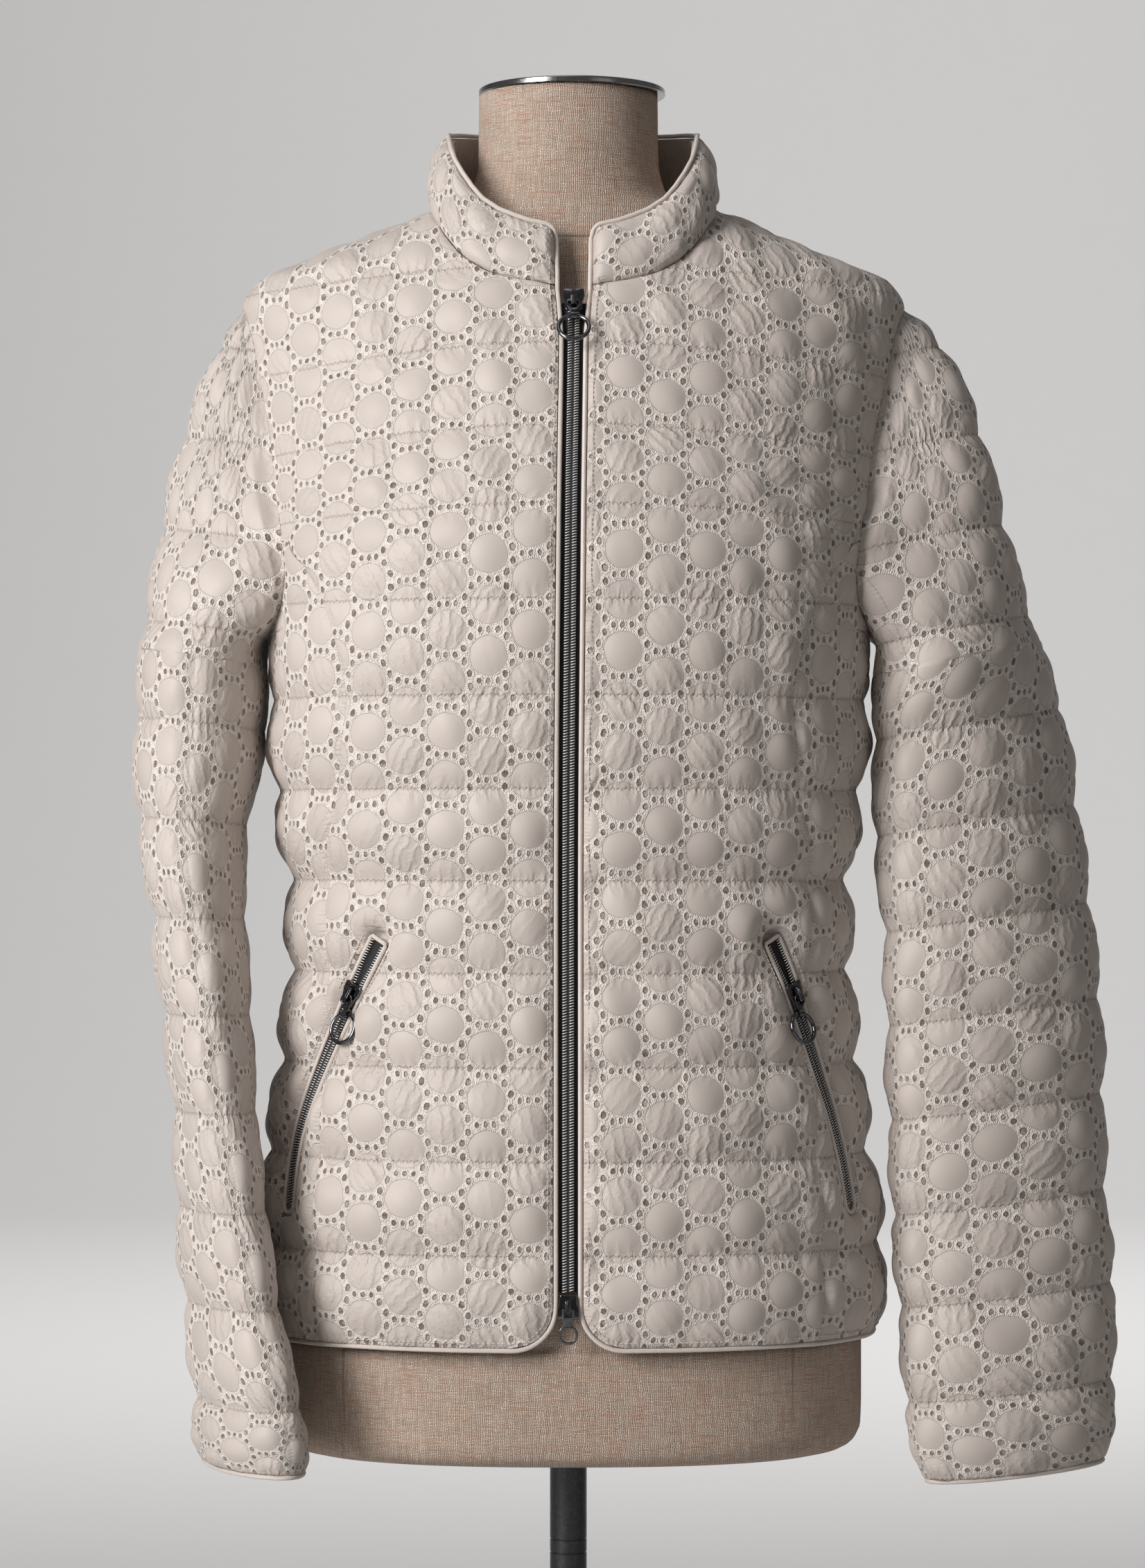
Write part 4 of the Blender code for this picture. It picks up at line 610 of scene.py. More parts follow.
# ---------------------------------------------------------------- materials
class Paint:
    """A material in the making. Each method adds a node and gives its output."""

    def __init__(self, name, colour, rough, metallic=0.0, **sockets):
        self.material = bpy.data.materials.new(name)
        self.material.use_nodes = True
        self.nodes, self.links = self.material.node_tree.nodes, self.material.node_tree.links
        self.shader = self.nodes["Principled BSDF"]
        self.put(self.shader.inputs["Base Color"], (*colour, 1.0))
        self.put(self.shader.inputs["Roughness"], rough)
        self.put(self.shader.inputs["Metallic"], metallic)
        for key, value in sockets.items():
            self.put(self.shader.inputs[key.replace("_", " ")], value)

    def put(self, socket, value):
        if isinstance(value, bpy.types.NodeSocket):
            self.links.new(value, socket)
        else:
            socket.default_value = value

    def node(self, kind, inputs, **settings):
        node = self.nodes.new(kind)
        for key, value in settings.items():
            setattr(node, key, value)
        for key, value in inputs.items():
            self.put(node.inputs[key], value)
        return node

    def math(self, operation, *values):
        return self.node("ShaderNodeMath", dict(enumerate(values)), operation=operation).outputs[0]

    def times(self, first, second):
        return self.math("MULTIPLY", first, second)

    def plus(self, first, second):
        return self.math("ADD", first, second)

    def minus(self, first, second):
        return self.math("SUBTRACT", first, second)

    def wave(self, value, rate):
        return self.math("SINE", self.times(value, rate))

    def vector(self, operation, *values):
        inputs = dict(enumerate(values))
        return self.node("ShaderNodeVectorMath", inputs, operation=operation).outputs[0]

    def length(self, vector):
        return self.node("ShaderNodeVectorMath", {0: vector}, operation="LENGTH").outputs["Value"]

    def place(self):
        """The cloth's own places, in mm."""
        uv = self.node("ShaderNodeUVMap", {}, uv_map="cloth").outputs[0]
        return self.vector("MULTIPLY", uv, (1 / MM, 1 / MM, 1 / MM))

    def solid(self):
        """Places in the object, in mm."""
        point = self.node("ShaderNodeTexCoord", {}).outputs["Object"]
        return self.vector("MULTIPLY", point, (1 / MM, 1 / MM, 1 / MM))

    def field(self, name, scale=1.0):
        value = self.node("ShaderNodeAttribute", {}, attribute_name=name).outputs["Fac"]
        return self.times(value, scale)

    def noise(self, where, size, detail=2.0, stretch=(1.0, 1.0, 1.0), colour=False):
        """Noise whose lumps are about size across, longer where stretch is more than 1."""
        scaled = self.vector("DIVIDE", where, tuple(size * s for s in stretch))
        node = self.node("ShaderNodeTexNoise", {"Vector": scaled, "Scale": 1.0, "Detail": detail})
        return node.outputs["Color" if colour else "Fac"]

    def split(self, vector):
        return self.node("ShaderNodeSeparateXYZ", {0: vector}).outputs

    def join(self, x, y, z=0.0):
        return self.node("ShaderNodeCombineXYZ", {0: x, 1: y, 2: z}).outputs[0]

    def fade(self, value, low, high, start=0.0, end=1.0):
        inputs = {"Value": value, "From Min": low, "From Max": high, "To Min": start, "To Max": end}
        return self.node("ShaderNodeMapRange", inputs, interpolation_type="SMOOTHSTEP").outputs[0]

    def mix(self, share, first, second):
        """A colour, given as three numbers or an output."""
        inputs = {0: share, 6: first if hasattr(first, "node") else (*first, 1.0),
                  7: second if hasattr(second, "node") else (*second, 1.0)}
        return self.node("ShaderNodeMix", inputs, data_type="RGBA").outputs[2]

    def blend(self, share, first, second):
        """A number between two."""
        inputs = {0: share, 2: first, 3: second}
        return self.node("ShaderNodeMix", inputs, data_type="FLOAT").outputs[0]

    def total(self, *terms):
        """Sum of (factor, value) pairs."""
        result = None
        for factor, value in terms:
            part = self.times(value, factor)
            result = part if result is None else self.plus(result, part)
        return result

    def finish(self, colour=None, rough=None, height=None, strength=1.0):
        """Link what is given; height is in mm."""
        if colour is not None:
            self.put(self.shader.inputs["Base Color"], colour)
        if rough is not None:
            self.put(self.shader.inputs["Roughness"], rough)
        if height is not None:
            bump = self.node("ShaderNodeBump",
                             {"Height": height, "Strength": strength, "Distance": MM})
            self.put(self.shader.inputs["Normal"], bump.outputs[0])
        return self.material


DISC_COLOUR, GROUND_COLOUR = (0.525, 0.463, 0.422), (0.86, 0.783, 0.725)
# painted shade: the first is the dark of an eyelet's hole, what shows through it darkened for the
# shade inside; the second is shade painted into the needle holes, the stitches and the quilting
# creases
EYELET_SHADE_COLOUR, CREASE_SHADE_COLOUR = (0.22, 0.16, 0.12), (0.36, 0.285, 0.235)
# eyelets of one quarter of a disc's cell: across, up, half width and half height, mm
EYELETS = ((0.0, 13.2, 1.1, 1.45), (4.7, 13.2, 1.15, 1.5), (9.4, 9.6, 1.35, 1.8),
           (12.8, 3.7, 1.35, 1.9))
STITCH_PITCH = 1.9           # of the quilting thread, mm
LOOPS, NEEDLES = 78.0, 70.0  # loops and needle holes round a disc, as rates of a sine of the angle


def lace():
    """Embroidered eyelet cloth: smooth satin discs in a looped ground with small eyelets."""
    p = Paint("lace_shell", DISC_COLOUR, 0.7, Sheen_Weight=0.15, Sheen_Roughness=0.5,
              Sheen_Tint=(1.0, 0.95, 0.9, 1.0), Specular_IOR_Level=0.3)
    column, pitch, disc = COLUMN / MM, PITCH / MM, DISC / MM
    where = p.place()
    # the lace is never quite even
    wobble = p.vector("SUBTRACT", p.noise(where, 11.0, 1.0, colour=True), (0.5, 0.5, 0.5))
    where = p.vector("ADD", where, p.vector("MULTIPLY", wobble, (2.6, 2.6, 0.0)))
    x, y, _ = p.split(where)
    first = p.join(p.math("WRAP", x, column, -column), p.math("WRAP", y, pitch / 2, -pitch / 2))
    second = p.join(p.math("WRAP", p.plus(x, column), column, -column),
                    p.math("WRAP", p.plus(y, pitch / 2), pitch / 2, -pitch / 2))
    nearer = p.math("LESS_THAN", p.length(second), p.length(first))
    local = p.node("ShaderNodeMix", {0: nearer, 4: first, 5: second}, data_type="VECTOR").outputs[1]
    across, up, _ = p.split(local)
    r = p.length(local)
    inside = p.fade(r, disc + 0.12, disc - 0.12)

    line = p.field("line")
    wander = p.plus(p.times(p.wave(x, 1.9), 0.35),
                    p.times(p.minus(p.noise(where, 6.0, 1.0), 0.5), 1.1))
    offset = p.times(p.math("WRAP", line, 0.5, -0.5), CHANNEL / MM)
    off_line = p.math("ABSOLUTE", p.plus(offset, wander))

    # soft folds across a disc: each has its own way, place and strength
    centre = p.vector("ADD", p.vector("SUBTRACT", where, local), (1.1, 1.1, 0.0))
    centre = p.vector("SNAP", centre, (4.0, 4.0, 4.0))
    chance = p.node("ShaderNodeTexWhiteNoise", {"Vector": centre}).outputs["Color"]
    own, other, third = p.split(chance)
    turn = p.times(p.minus(own, 0.5), 1.5)
    off_middle = p.plus(p.times(across, p.math("COSINE", turn)), p.times(up, p.math("SINE", turn)))
    off_middle = p.plus(off_middle, p.times(p.noise(where, 5.0, 2.0), 6.0))
    crest = p.math("SINE", p.plus(p.times(off_middle, 1.1), p.times(other, 6.28)))
    folds = p.math("POWER", p.times(p.plus(crest, 1.0), 0.5), 1.5)
    strong = p.plus(p.fade(third, 0.4, 0.9), p.fade(off_line, 12.0, 2.0, 0.0, 0.6))
    folds = p.times(folds, strong)

    # the loops round a disc and the needle holes at its rim
    angle = p.math("ARCTAN2", up, across)
    ring = p.times(p.fade(r, disc, disc + 0.35), p.fade(r, disc + 2.2, disc + 1.0))
    radial = p.times(p.wave(angle, LOOPS), ring)
    needle = p.fade(p.math("ABSOLUTE", p.minus(r, disc - 0.1)), 0.38, 0.08)
    holes = p.times(needle, p.fade(p.wave(angle, NEEDLES), -0.1, 0.7))

    quarter = p.vector("ABSOLUTE", local)
    nearest = None
    for cx, cy, wide, tall in EYELETS:
        gap = p.vector("DIVIDE", p.vector("SUBTRACT", quarter, (cx, cy, 0.0)), (wide, tall, 1.0))
        distance = p.length(gap)
        nearest = distance if nearest is None else p.math("MINIMUM", nearest, distance)
    nearest = p.plus(nearest, p.times(p.minus(p.noise(where, 1.3, 1.0), 0.5), 0.5))
    eyelet = p.fade(nearest, 1.10, 0.86)
    stitched = p.times(p.fade(nearest, 1.0, 1.25), p.fade(nearest, 2.0, 1.45))

    # the looped ground between the discs
    shift = p.vector("MULTIPLY", p.noise(where, 1.4, 1.0, colour=True), (1.3, 1.3, 0.0))
    fine = p.vector("ADD", where, shift)
    loops = p.node("ShaderNodeTexVoronoi", {"Vector": fine, "Scale": 1.15}).outputs["Distance"]
    knots = p.fade(loops, 0.65, 0.1)
    fuzz = p.noise(where, 0.5, 3.0)
    ground = p.total((0.42, knots), (0.35, fuzz), (0.14, radial), (0.35, stitched))
    satin_disc = p.total((0.36, folds), (0.03, p.noise(where, 1.3, 2.0)))
    height = p.blend(inside, ground, satin_disc)

    # the quilting line, its stitches, and what it and the seams draw up
    crease = p.fade(off_line, 1.0, 0.1)
    puckers = p.times(p.minus(p.noise(where, 2.2, 1.0, (1.0, 3.5, 1.0)), 0.5),
                      p.fade(off_line, 5.0, 0.4))
    sewn = p.times(p.fade(off_line, 0.7, 0.15),
                   p.fade(p.wave(x, 2 * math.pi / STITCH_PITCH), -0.2, 0.6))
    edge = p.field("edge", 1 / MM)
    pull = p.times(p.minus(p.noise(where, 1.6, 1.0, (5.0, 1.0, 1.0)), 0.5),
                   p.fade(edge, 6.0, 0.8))
    sunk = p.total((-1.5, eyelet), (-0.22, holes), (-0.28, crease), (-0.2, sewn), (0.9, puckers),
                   (0.8, pull))
    height = p.plus(height, sunk)

    # the ground is darker in the hollows between its loops and lighter on their tops: painted shade
    ground_with_hollow_shade = p.mix(p.fade(p.total((0.6, knots), (0.6, fuzz)), 0.2, 0.7),
                       shade(GROUND_COLOUR, 0.80), GROUND_COLOUR)
    satin_colour = p.mix(p.fade(own, 0.0, 1.0), shade(DISC_COLOUR, 0.965), shade(DISC_COLOUR, 1.03))
    colour = p.mix(inside, ground_with_hollow_shade, satin_colour)
    # painted shade in the eyelets' holes, stronger in some than in others
    eyelet_shade_share = p.fade(p.noise(where, 5.0, 1.0), 0.35, 0.65, 0.6, 1.0)
    colour = p.mix(p.times(eyelet, eyelet_shade_share), colour, EYELET_SHADE_COLOUR)
    # painted shade in the needle holes at a disc's rim, in the quilting line's crease and in its
    # stitches' dimples, stronger on the discs
    colour = p.mix(p.times(holes, 0.16), colour, CREASE_SHADE_COLOUR)
    colour = p.mix(p.times(crease, p.blend(inside, 0.08, 0.22)), colour, CREASE_SHADE_COLOUR)
    colour = p.mix(p.times(sewn, p.blend(inside, 0.05, 0.20)), colour, CREASE_SHADE_COLOUR)
    rough = p.blend(inside, 0.85, 0.52)
    return p.finish(colour, rough, height, 1.0)


def satin(name, colour, rough=0.5, gathers=0.0):
    """Plain close-woven cloth; gathers is the height of the folds drawn up in it, mm."""
    p = Paint(name, colour, rough, Sheen_Weight=0.2, Sheen_Roughness=0.4, Specular_IOR_Level=0.4)
    where = p.place()
    weave = p.noise(where, 0.35, 2.0)
    soft = p.noise(where, 5.0, 2.0)
    twill = p.wave(p.plus(*p.split(where)[:2]), 2 * math.pi / 0.7)
    height = p.total((0.05, weave), (0.25, soft), (0.02, twill))
    if gathers:
        drawn = p.noise(where, 2.4, 2.0, (1.0, 9.0, 1.0))
        height = p.plus(height, p.times(drawn, gathers))
    tone = p.fade(p.total((0.5, soft), (0.5, weave)), 0.3, 0.7)
    tone = p.mix(tone, shade(colour, 0.86), colour)
    return p.finish(tone, None, height, 0.8)


def woven_tape():
    colour = (0.016, 0.015, 0.015)
    p = Paint("zip_tape_weave", colour, 0.8)
    x, y, _ = p.split(p.place())
    ribs = p.wave(x, 2 * math.pi / 0.55)
    picks = p.wave(y, 2 * math.pi / 0.8)
    weave = p.times(ribs, picks)
    tone = p.mix(p.fade(weave, -0.6, 0.8), colour, (0.055, 0.051, 0.05))
    return p.finish(tone, None, p.total((0.12, weave), (0.1, p.noise(p.place(), 0.4))), 1.0)


def polished(name, colour, rough, wear, metallic=1.0):
    """Plated metal with fine scratches and a little wear in its colour."""
    p = Paint(name, colour, rough, metallic)
    where = p.solid()
    scratches = p.noise(where, 0.5, 3.0, (1.0, 1.0, 9.0))
    spots = p.noise(where, 2.2, 3.0)
    tone = p.mix(p.fade(spots, 0.45, 0.75), colour, wear)
    marks = p.total((0.5, scratches), (0.5, spots))
    roughness = p.fade(marks, 0.3, 0.7, rough * 0.75, rough * 1.35)
    return p.finish(tone, roughness, p.total((0.02, scratches), (0.01, spots)), 0.6)


def linen():
    """Coarse plain weave of taupe, grey and rust threads, darker along its seams."""
    thread, pale, rust, green = ((0.52, 0.395, 0.305), (0.85, 0.70, 0.585), (0.60, 0.37, 0.27),
                                 (0.42, 0.42, 0.35))
    gap_colour, seam_colour = (0.115, 0.080, 0.058), (0.09, 0.065, 0.05)
    p = Paint("linen_weave", thread, 0.9, Sheen_Weight=0.1)
    where = p.place()
    drift = p.vector("MULTIPLY", p.vector("SUBTRACT", p.noise(where, 5.0, 2.0, colour=True),
                                          (0.5, 0.5, 0.5)), (2.2, 2.2, 0.0))
    where = p.vector("ADD", where, drift)
    x, y, _ = p.split(where)
    warp = p.wave(x, 2 * math.pi / 2.1)
    weft = p.wave(y, 2 * math.pi / 1.6)
    over = p.times(warp, weft)                                 # which thread lies on top
    tops = p.math("ABSOLUTE", over)
    slub_up = p.noise(where, 1.1, 1.0, (1.0, 16.0, 1.0))
    slub_across = p.noise(where, 1.0, 1.0, (16.0, 1.0, 1.0))
    strand = p.blend(p.fade(over, -0.1, 0.1), slub_up, slub_across)
    tone = p.mix(p.fade(strand, 0.35, 0.65), thread, pale)
    tone = p.mix(p.fade(slub_across, 0.48, 0.68), tone, rust)
    tone = p.mix(p.fade(slub_up, 0.60, 0.82), tone, green)
    tone = p.mix(p.fade(tops, 0.32, 0.02, 0.0, 0.85), tone, gap_colour)
    seam = p.fade(p.field("edge", 1 / MM), 1.4, 0.2)
    tone = p.mix(p.times(seam, 0.6), tone, seam_colour)
    height = p.total((0.45, tops), (0.25, slub_up), (0.25, slub_across), (-0.8, seam))
    return p.finish(tone, None, height, 0.9)


def backdrop_paint():
    p = Paint("studio_paper", (0.62, 0.615, 0.61), 0.9)
    grain = p.noise(p.solid(), 60.0, 2.0)
    tone = p.mix(grain, (0.615, 0.61, 0.605), (0.625, 0.62, 0.615))
    return p.finish(tone)


LACE = lace()
LINING = satin("lining_satin", (0.56, 0.485, 0.43), 0.42, 0.9)
PIPING = satin("piping_satin", (0.70, 0.62, 0.565), 0.45)
TAPE = woven_tape()
TEETH = polished("coil_teeth", (0.66, 0.655, 0.65), 0.28, (0.80, 0.79, 0.77), 0.4)
NICKEL = polished("black_nickel", (0.12, 0.12, 0.13), 0.11, (0.20, 0.20, 0.21))
THREAD_COLOUR = satin("stitching_thread", (0.66, 0.58, 0.52), 0.6)
LINEN = linen()
CAP = polished("brushed_cap", (0.36, 0.36, 0.37), 0.17, (0.30, 0.30, 0.31))
STEEL = polished("dark_steel", (0.075, 0.076, 0.08), 0.36, (0.10, 0.10, 0.105))


# ---------------------------------------------------------------- repeats along a path
def repeat_tree():
    """Copies of a small shape on points that carry the ways down and out as attributes."""
    tree = bpy.data.node_groups.new("repeat_on_points", "GeometryNodeTree")
    face = tree.interface
    face.new_socket("Points", in_out="INPUT", socket_type="NodeSocketGeometry")
    shape = face.new_socket("Shape", in_out="INPUT", socket_type="NodeSocketObject")
    size = face.new_socket("Size", in_out="INPUT", socket_type="NodeSocketFloat")
    paint = face.new_socket("Finish", in_out="INPUT", socket_type="NodeSocketMaterial")
    face.new_socket("Geometry", in_out="OUTPUT", socket_type="NodeSocketGeometry")
    nodes, links = tree.nodes, tree.links
    start, end = nodes.new("NodeGroupInput"), nodes.new("NodeGroupOutput")
    info = nodes.new("GeometryNodeObjectInfo")
    links.new(start.outputs["Shape"], info.inputs["Object"])
    turn = None
    for name, axis, pivot in (("out", "Z", "AUTO"), ("down", "Y", "Z")):
        way = nodes.new("GeometryNodeInputNamedAttribute")
        way.data_type = "FLOAT_VECTOR"
        way.inputs["Name"].default_value = name
        align = nodes.new("FunctionNodeAlignRotationToVector")
        align.axis, align.pivot_axis = axis, pivot
        links.new(way.outputs["Attribute"], align.inputs["Vector"])
        if turn is not None:
            links.new(turn, align.inputs["Rotation"])
        turn = align.outputs["Rotation"]
    place = nodes.new("GeometryNodeInstanceOnPoints")
    links.new(start.outputs["Points"], place.inputs["Points"])
    links.new(info.outputs["Geometry"], place.inputs["Instance"])
    links.new(turn, place.inputs["Rotation"])
    links.new(start.outputs["Size"], place.inputs["Scale"])
    real = nodes.new("GeometryNodeRealizeInstances")
    links.new(place.outputs["Instances"], real.inputs["Geometry"])
    painted = nodes.new("GeometryNodeSetMaterial")
    links.new(real.outputs["Geometry"], painted.inputs["Geometry"])
    links.new(start.outputs["Finish"], painted.inputs["Material"])
    links.new(painted.outputs["Geometry"], end.inputs["Geometry"])
    return tree, shape.identifier, size.identifier, paint.identifier


REPEAT, SHAPE_INPUT, SIZE_INPUT, FINISH_INPUT = repeat_tree()


def repeat(name, shape, points, down, out, material):
    """A plain mesh of copies of shape at points, its Y down and its Z out."""
    mesh = bpy.data.meshes.new(name)
    mesh.from_pydata(np.asarray(points).tolist(), [], [])
    for key, values in (("down", down), ("out", out)):
        attribute = mesh.attributes.new(key, "FLOAT_VECTOR", "POINT")
        attribute.data.foreach_set("vector", np.asarray(values, np.float32).ravel())
    obj = placed(name, mesh)
    modifier = obj.modifiers.new("repeat", "NODES")
    modifier.node_group = REPEAT
    modifier[SHAPE_INPUT], modifier[SIZE_INPUT], modifier[FINISH_INPUT] = shape, 1.0, material
    result = evaluated(obj)
    obj.modifiers.clear()
    obj.data = result
    result.shade_smooth()
    return obj


BAR_SIDES = 6


def bar_shape(name, line, radius):
    """A small round-ended bar along a line of points, kept off the scene as a repeat's shape."""
    line = np.asarray(line, float)
    way = unit(np.gradient(line, axis=0))
    side = unit(np.cross(way, (0, 0, 1.0)) + 1e-9)
    up = np.cross(side, way)
    full = np.vstack([line[:1] - way[:1] * radius * 0.6, line, line[-1:] + way[-1:] * radius * 0.6])
    sizes = np.concatenate([[0.45], np.ones(len(line)), [0.45]]) * radius
    side, up = (np.vstack([v[:1], v, v[-1:]]) for v in (side, up))
    turn = full_turn(BAR_SIDES)
    rings = full[:, None] + (side[:, None] * np.cos(turn)[:, None]
                             + up[:, None] * np.sin(turn)[:, None]) * sizes[:, None, None]
    obj = loft(name, rings, THREAD_COLOUR)
    obj.data.uv_layers.remove(obj.data.uv_layers["cloth"])
    bpy.context.scene.collection.objects.unlink(obj)
    return obj


def spaced(points, step):
    """Points a step apart along a line, with the ways along it."""
    run = run_along(points)
    at = np.arange(step / 2, run[-1], step)
    spots, ahead = between(at, run, points), between(at + step / 4, run, points)
    return at, run, spots, unit(ahead - spots + 1e-12)


def stitch_line(name, lines, normals):
    """Stitches along lines that lie on the cloth."""
    spots, downs, outs = [], [], []
    for line, normal in zip(lines, normals):
        at, run, spot, down = spaced(line, THREAD)
        spots.append(spot)
        downs.append(down)
        outs.append(between(at, run, normal))
    obj = repeat(name, STITCH, np.vstack(spots), np.vstack(downs), np.vstack(outs), THREAD_COLOUR)
    map_cloth(obj, np.zeros((len(obj.data.vertices), 2)))
    return settle(obj, "piping")


STITCH = bar_shape("stitch_shape", [(0, y * MM, (0.12 if abs(y) < 0.6 else -0.08) * MM)
                                    for y in (-0.85, -0.45, 0.0, 0.45, 0.85)], 0.24 * MM)
TOOTH = bar_shape("tooth_shape", [(x * MM, y * MM, z * MM) for x, y, z in
                                  ((-1.15, -0.30, -0.6), (-1.05, -0.26, -0.1), (-0.6, -0.12, 0.18),
                                   (0.3, 0.12, 0.2), (0.95, 0.26, 0.0), (1.1, 0.30, -0.3))],
                  0.27 * MM)


# ---------------------------------------------------------------- body panels
def panel(name, q_from, q_to, low, high, grain, seed, princess=None, back=False):
    """A body panel between two seam lines given as functions of height. grain is where its lace
    lies: across and up, in metres; princess says which of the two lines is the princess seam."""
    z = np.linspace(low, high, int((high - low) / STEP) + 1)
    length = body.length(z, back)
    start, end = np.array([q_from(a) for a in z]), np.array([q_to(a) for a in z])
    clear = np.sign(end - start) * SEAM_CLEAR / length
    start, end = start + clear, end - clear
    width = np.abs(end - start) * length
    t = np.linspace(0, 1, int(width.max() / STEP) + 1)
    q = start[:, None] + (end - start)[:, None] * t
    z = np.broadcast_to(z[:, None], q.shape)
    first, last = t * width[:, None], (1 - t) * width[:, None]
    away = NO_SEAM * (1 - fade(z, SIDE_TOP_Z - 15 * MM, SIDE_TOP_Z))
    soft = {"first": first, "last": last}.get(princess, first * 0) + NO_SEAM - away
    first, last = first + away * (princess == "first"), last + away * (princess == "last")
    slit = from_zip(q, z)
    hard = np.minimum(np.minimum(first, last), np.maximum(slit - SLIT_HALF, 0))
    edge = np.minimum(hard, soft)
    line = channels(q, z)
    u = (q - 2 if back else q) * length[:, None] - grain[0]
    v = line * CHANNEL - grain[1]
    height = body_puff(q, z, line, hard, soft) + relief(u, v, line, edge, seed)
    sunk = 1 - fade(slit, SLIT_HALF - 2.2 * MM, SLIT_HALF)
    place, out = body.point(q, z), body.normal(q, z)
    place = place - out * (sunk * SINK)[..., None]
    height = height * (1 - sunk)
    obj = cloth(name, place, out, height, WALL, (u, v), line, edge, (LACE, LINING))
    settle(obj, "shell", name.replace("_cloth", ""))
    return obj


FRONT_GRAIN = {1: (28.0 * MM, 3.5 * MM), -1: (-20.5 * MM, 14.4 * MM)}
SIDE_GRAIN = {1: (36.0 * MM, 11.0 * MM), -1: (-31.0 * MM, 5.0 * MM)}


def build_body():
    for side, tag in SIDES:
        panel(f"front_{tag}_cloth", lambda z: side * front_inner_q(z),
              lambda z: side * front_outer_q(z), HEM_Z, HPS_Z - 1.5 * MM, FRONT_GRAIN[side],
              10 + side, "last")
        panel(f"side_front_{tag}_cloth", lambda z: side * princess_q(z),
              lambda z: side * side_outer_q(z), HEM_Z, SIDE_TOP_Z, SIDE_GRAIN[side],
              20 + side, "first")
    panel("back_cloth", back_outer_q, lambda z: 4.0 - back_outer_q(z), HEM_Z, HPS_Z,
          (0.0, 4.0 * MM), 30, back=True)


# ---------------------------------------------------------------- sleeves
def body_levels():
    """The heights at which the part's own solids have their rows, for the armhole's points."""
    lines = [z * CM for z in QUILT_Z]
    rows = {HEM_Z, HEM_Z + 2 * MM, HEM_Z + 6 * MM, HEM_Z + 13 * MM}
    for low, high in zip(lines[:-3], lines[1:-2]):
        rows |= {low + (high - low) * t for t in (0.3, 0.7, 1.0)}
    rows -= {z for z in rows if 0.735 < z < 0.8135 and z not in lines}
    rows |= {z * CM for z in (73.0, 74.8, 74.95, 75.5, 77.1, 78.1, 79.0, 79.7, 80.0)}
    rows |= {z * CM for z in (91.65, 92.5, 93.0, 93.4, 93.6, 93.85, 94.17, 94.8, 95.5, 96.3, 97.0,
                              97.6, 98.1, 98.5)}
    return sorted(rows)


LEVELS = body_levels()


def beside(q, z, distance, closed=False):
    """The same line moved sideways in the cloth, to the right of its run."""
    p = flat(q, z)
    tangent = (np.roll(p, -1, axis=0) - np.roll(p, 1, axis=0)) if closed else np.gradient(p, axis=0)
    tangent = unit(tangent)
    return unflat(p + np.stack([tangent[:, 1], -tangent[:, 0]], axis=-1) * distance)


def armhole_ring():
    """Points and normals round the armhole with their places: 0 to 1 over the upper sleeve from
    the front seam to the back one, 1 to 2 under the arm."""
    rows = [z for z in LEVELS if UNDERARM_Z + MM < z < SHOULDER_Z - MM]
    q = np.array([1.0] + [armhole_q(z) for z in rows]
                 + [1.0] + [armhole_q(z, True) for z in rows[::-1]])
    z = np.array([UNDERARM_Z] + rows + [SHOULDER_Z] + rows[::-1])
    top = int(np.argmax(z))
    front = int(np.argmin(np.abs(z[:top] - FRONT_SEAM_Z)))
    back = top + int(np.argmin(np.abs(z[top:] - BACK_SEAM_Z)))
    hole_q, hole_z = beside(q, z, GAP * 0.2, closed=True)
    hole, out = body.point(hole_q, hole_z), body.normal(hole_q, hole_z)
    order, places = [], []
    halves = ((0, range(front, back + 1)), (1, [*range(back, len(q)), *range(front + 1)]))
    for start, half in halves:
        run = np.linalg.norm(np.diff(hole[list(half)], axis=0), axis=1).cumsum()
        order += list(half)[:-1]
        places += [start, *(start + run[:-1] / run[-1])]
    return hole[order], out[order], np.array(places)


RING = armhole_ring()


def arm_value(side, name, z, unit_=1.0):
    return read(LEFT_ARM if side > 0 else RIGHT_ARM, ARM_COLUMNS, name, z, unit_)


def arm_point(side, z, angle):
    """Points of a sleeve below the armpit, for the wearer's left; angle 0 is its front end."""
    cx, cy, long_, short = (arm_value(side, n, z, CM) for n in ("x", "y", "long", "short"))
    turn, tilt = (np.radians(arm_value(side, n, z)) for n in ("turn", "tilt"))
    ahead, out = long_ * np.cos(angle), short * np.sin(angle)
    x = -np.sin(turn) * ahead + np.cos(turn) * out
    y = -np.cos(turn) * ahead - np.sin(turn) * out
    point = np.broadcast_arrays(cx + x * np.cos(tilt), cy + y, z + x * np.sin(tilt))
    return np.stack(point, axis=-1)


def arm_rows(side, steps, at):
    """Places of a sleeve: steps below 1 are in the cap, above it a section's number."""
    lines = np.array(ARM_LINES[side]) * CM
    top = lines[0]
    tilt = math.radians(float(arm_value(side, "tilt", top)))
    points, normals, places = RING
    hole, hole_out = (between(at, places, v, period=2) for v in (points, normals))
    hole_out = unit(hole_out)
    end = arm_point(side, top, math.pi * at)
    down = np.array([math.sin(tilt), 0.0, -math.cos(tilt)])
    under, over, share, held = CAP_LEAVES[side]
    outwards = under + (over - under) * np.clip(np.sin(math.pi * at), 0, 1) ** 2
    away = np.stack([outwards, 0 * outwards, -np.sqrt(1 - outwards ** 2)], axis=-1)
    away = unit(away + share * hole_out)
    chord = np.linalg.norm(end - hole, axis=-1, keepdims=True) * held
    s = np.clip(steps, 0, 1)[:, None, None]
    cap = ((2 * s ** 3 - 3 * s ** 2 + 1) * hole + (s ** 3 - 2 * s ** 2 + s) * away * chord
           + (-2 * s ** 3 + 3 * s ** 2) * end + (s ** 3 - s ** 2) * down * chord)
    z = np.interp(steps - 1, np.arange(len(lines)), lines)
    arm = arm_point(side, z[:, None], math.pi * at[None, :])
    return np.where(steps[:, None, None] < 1, cap, arm)


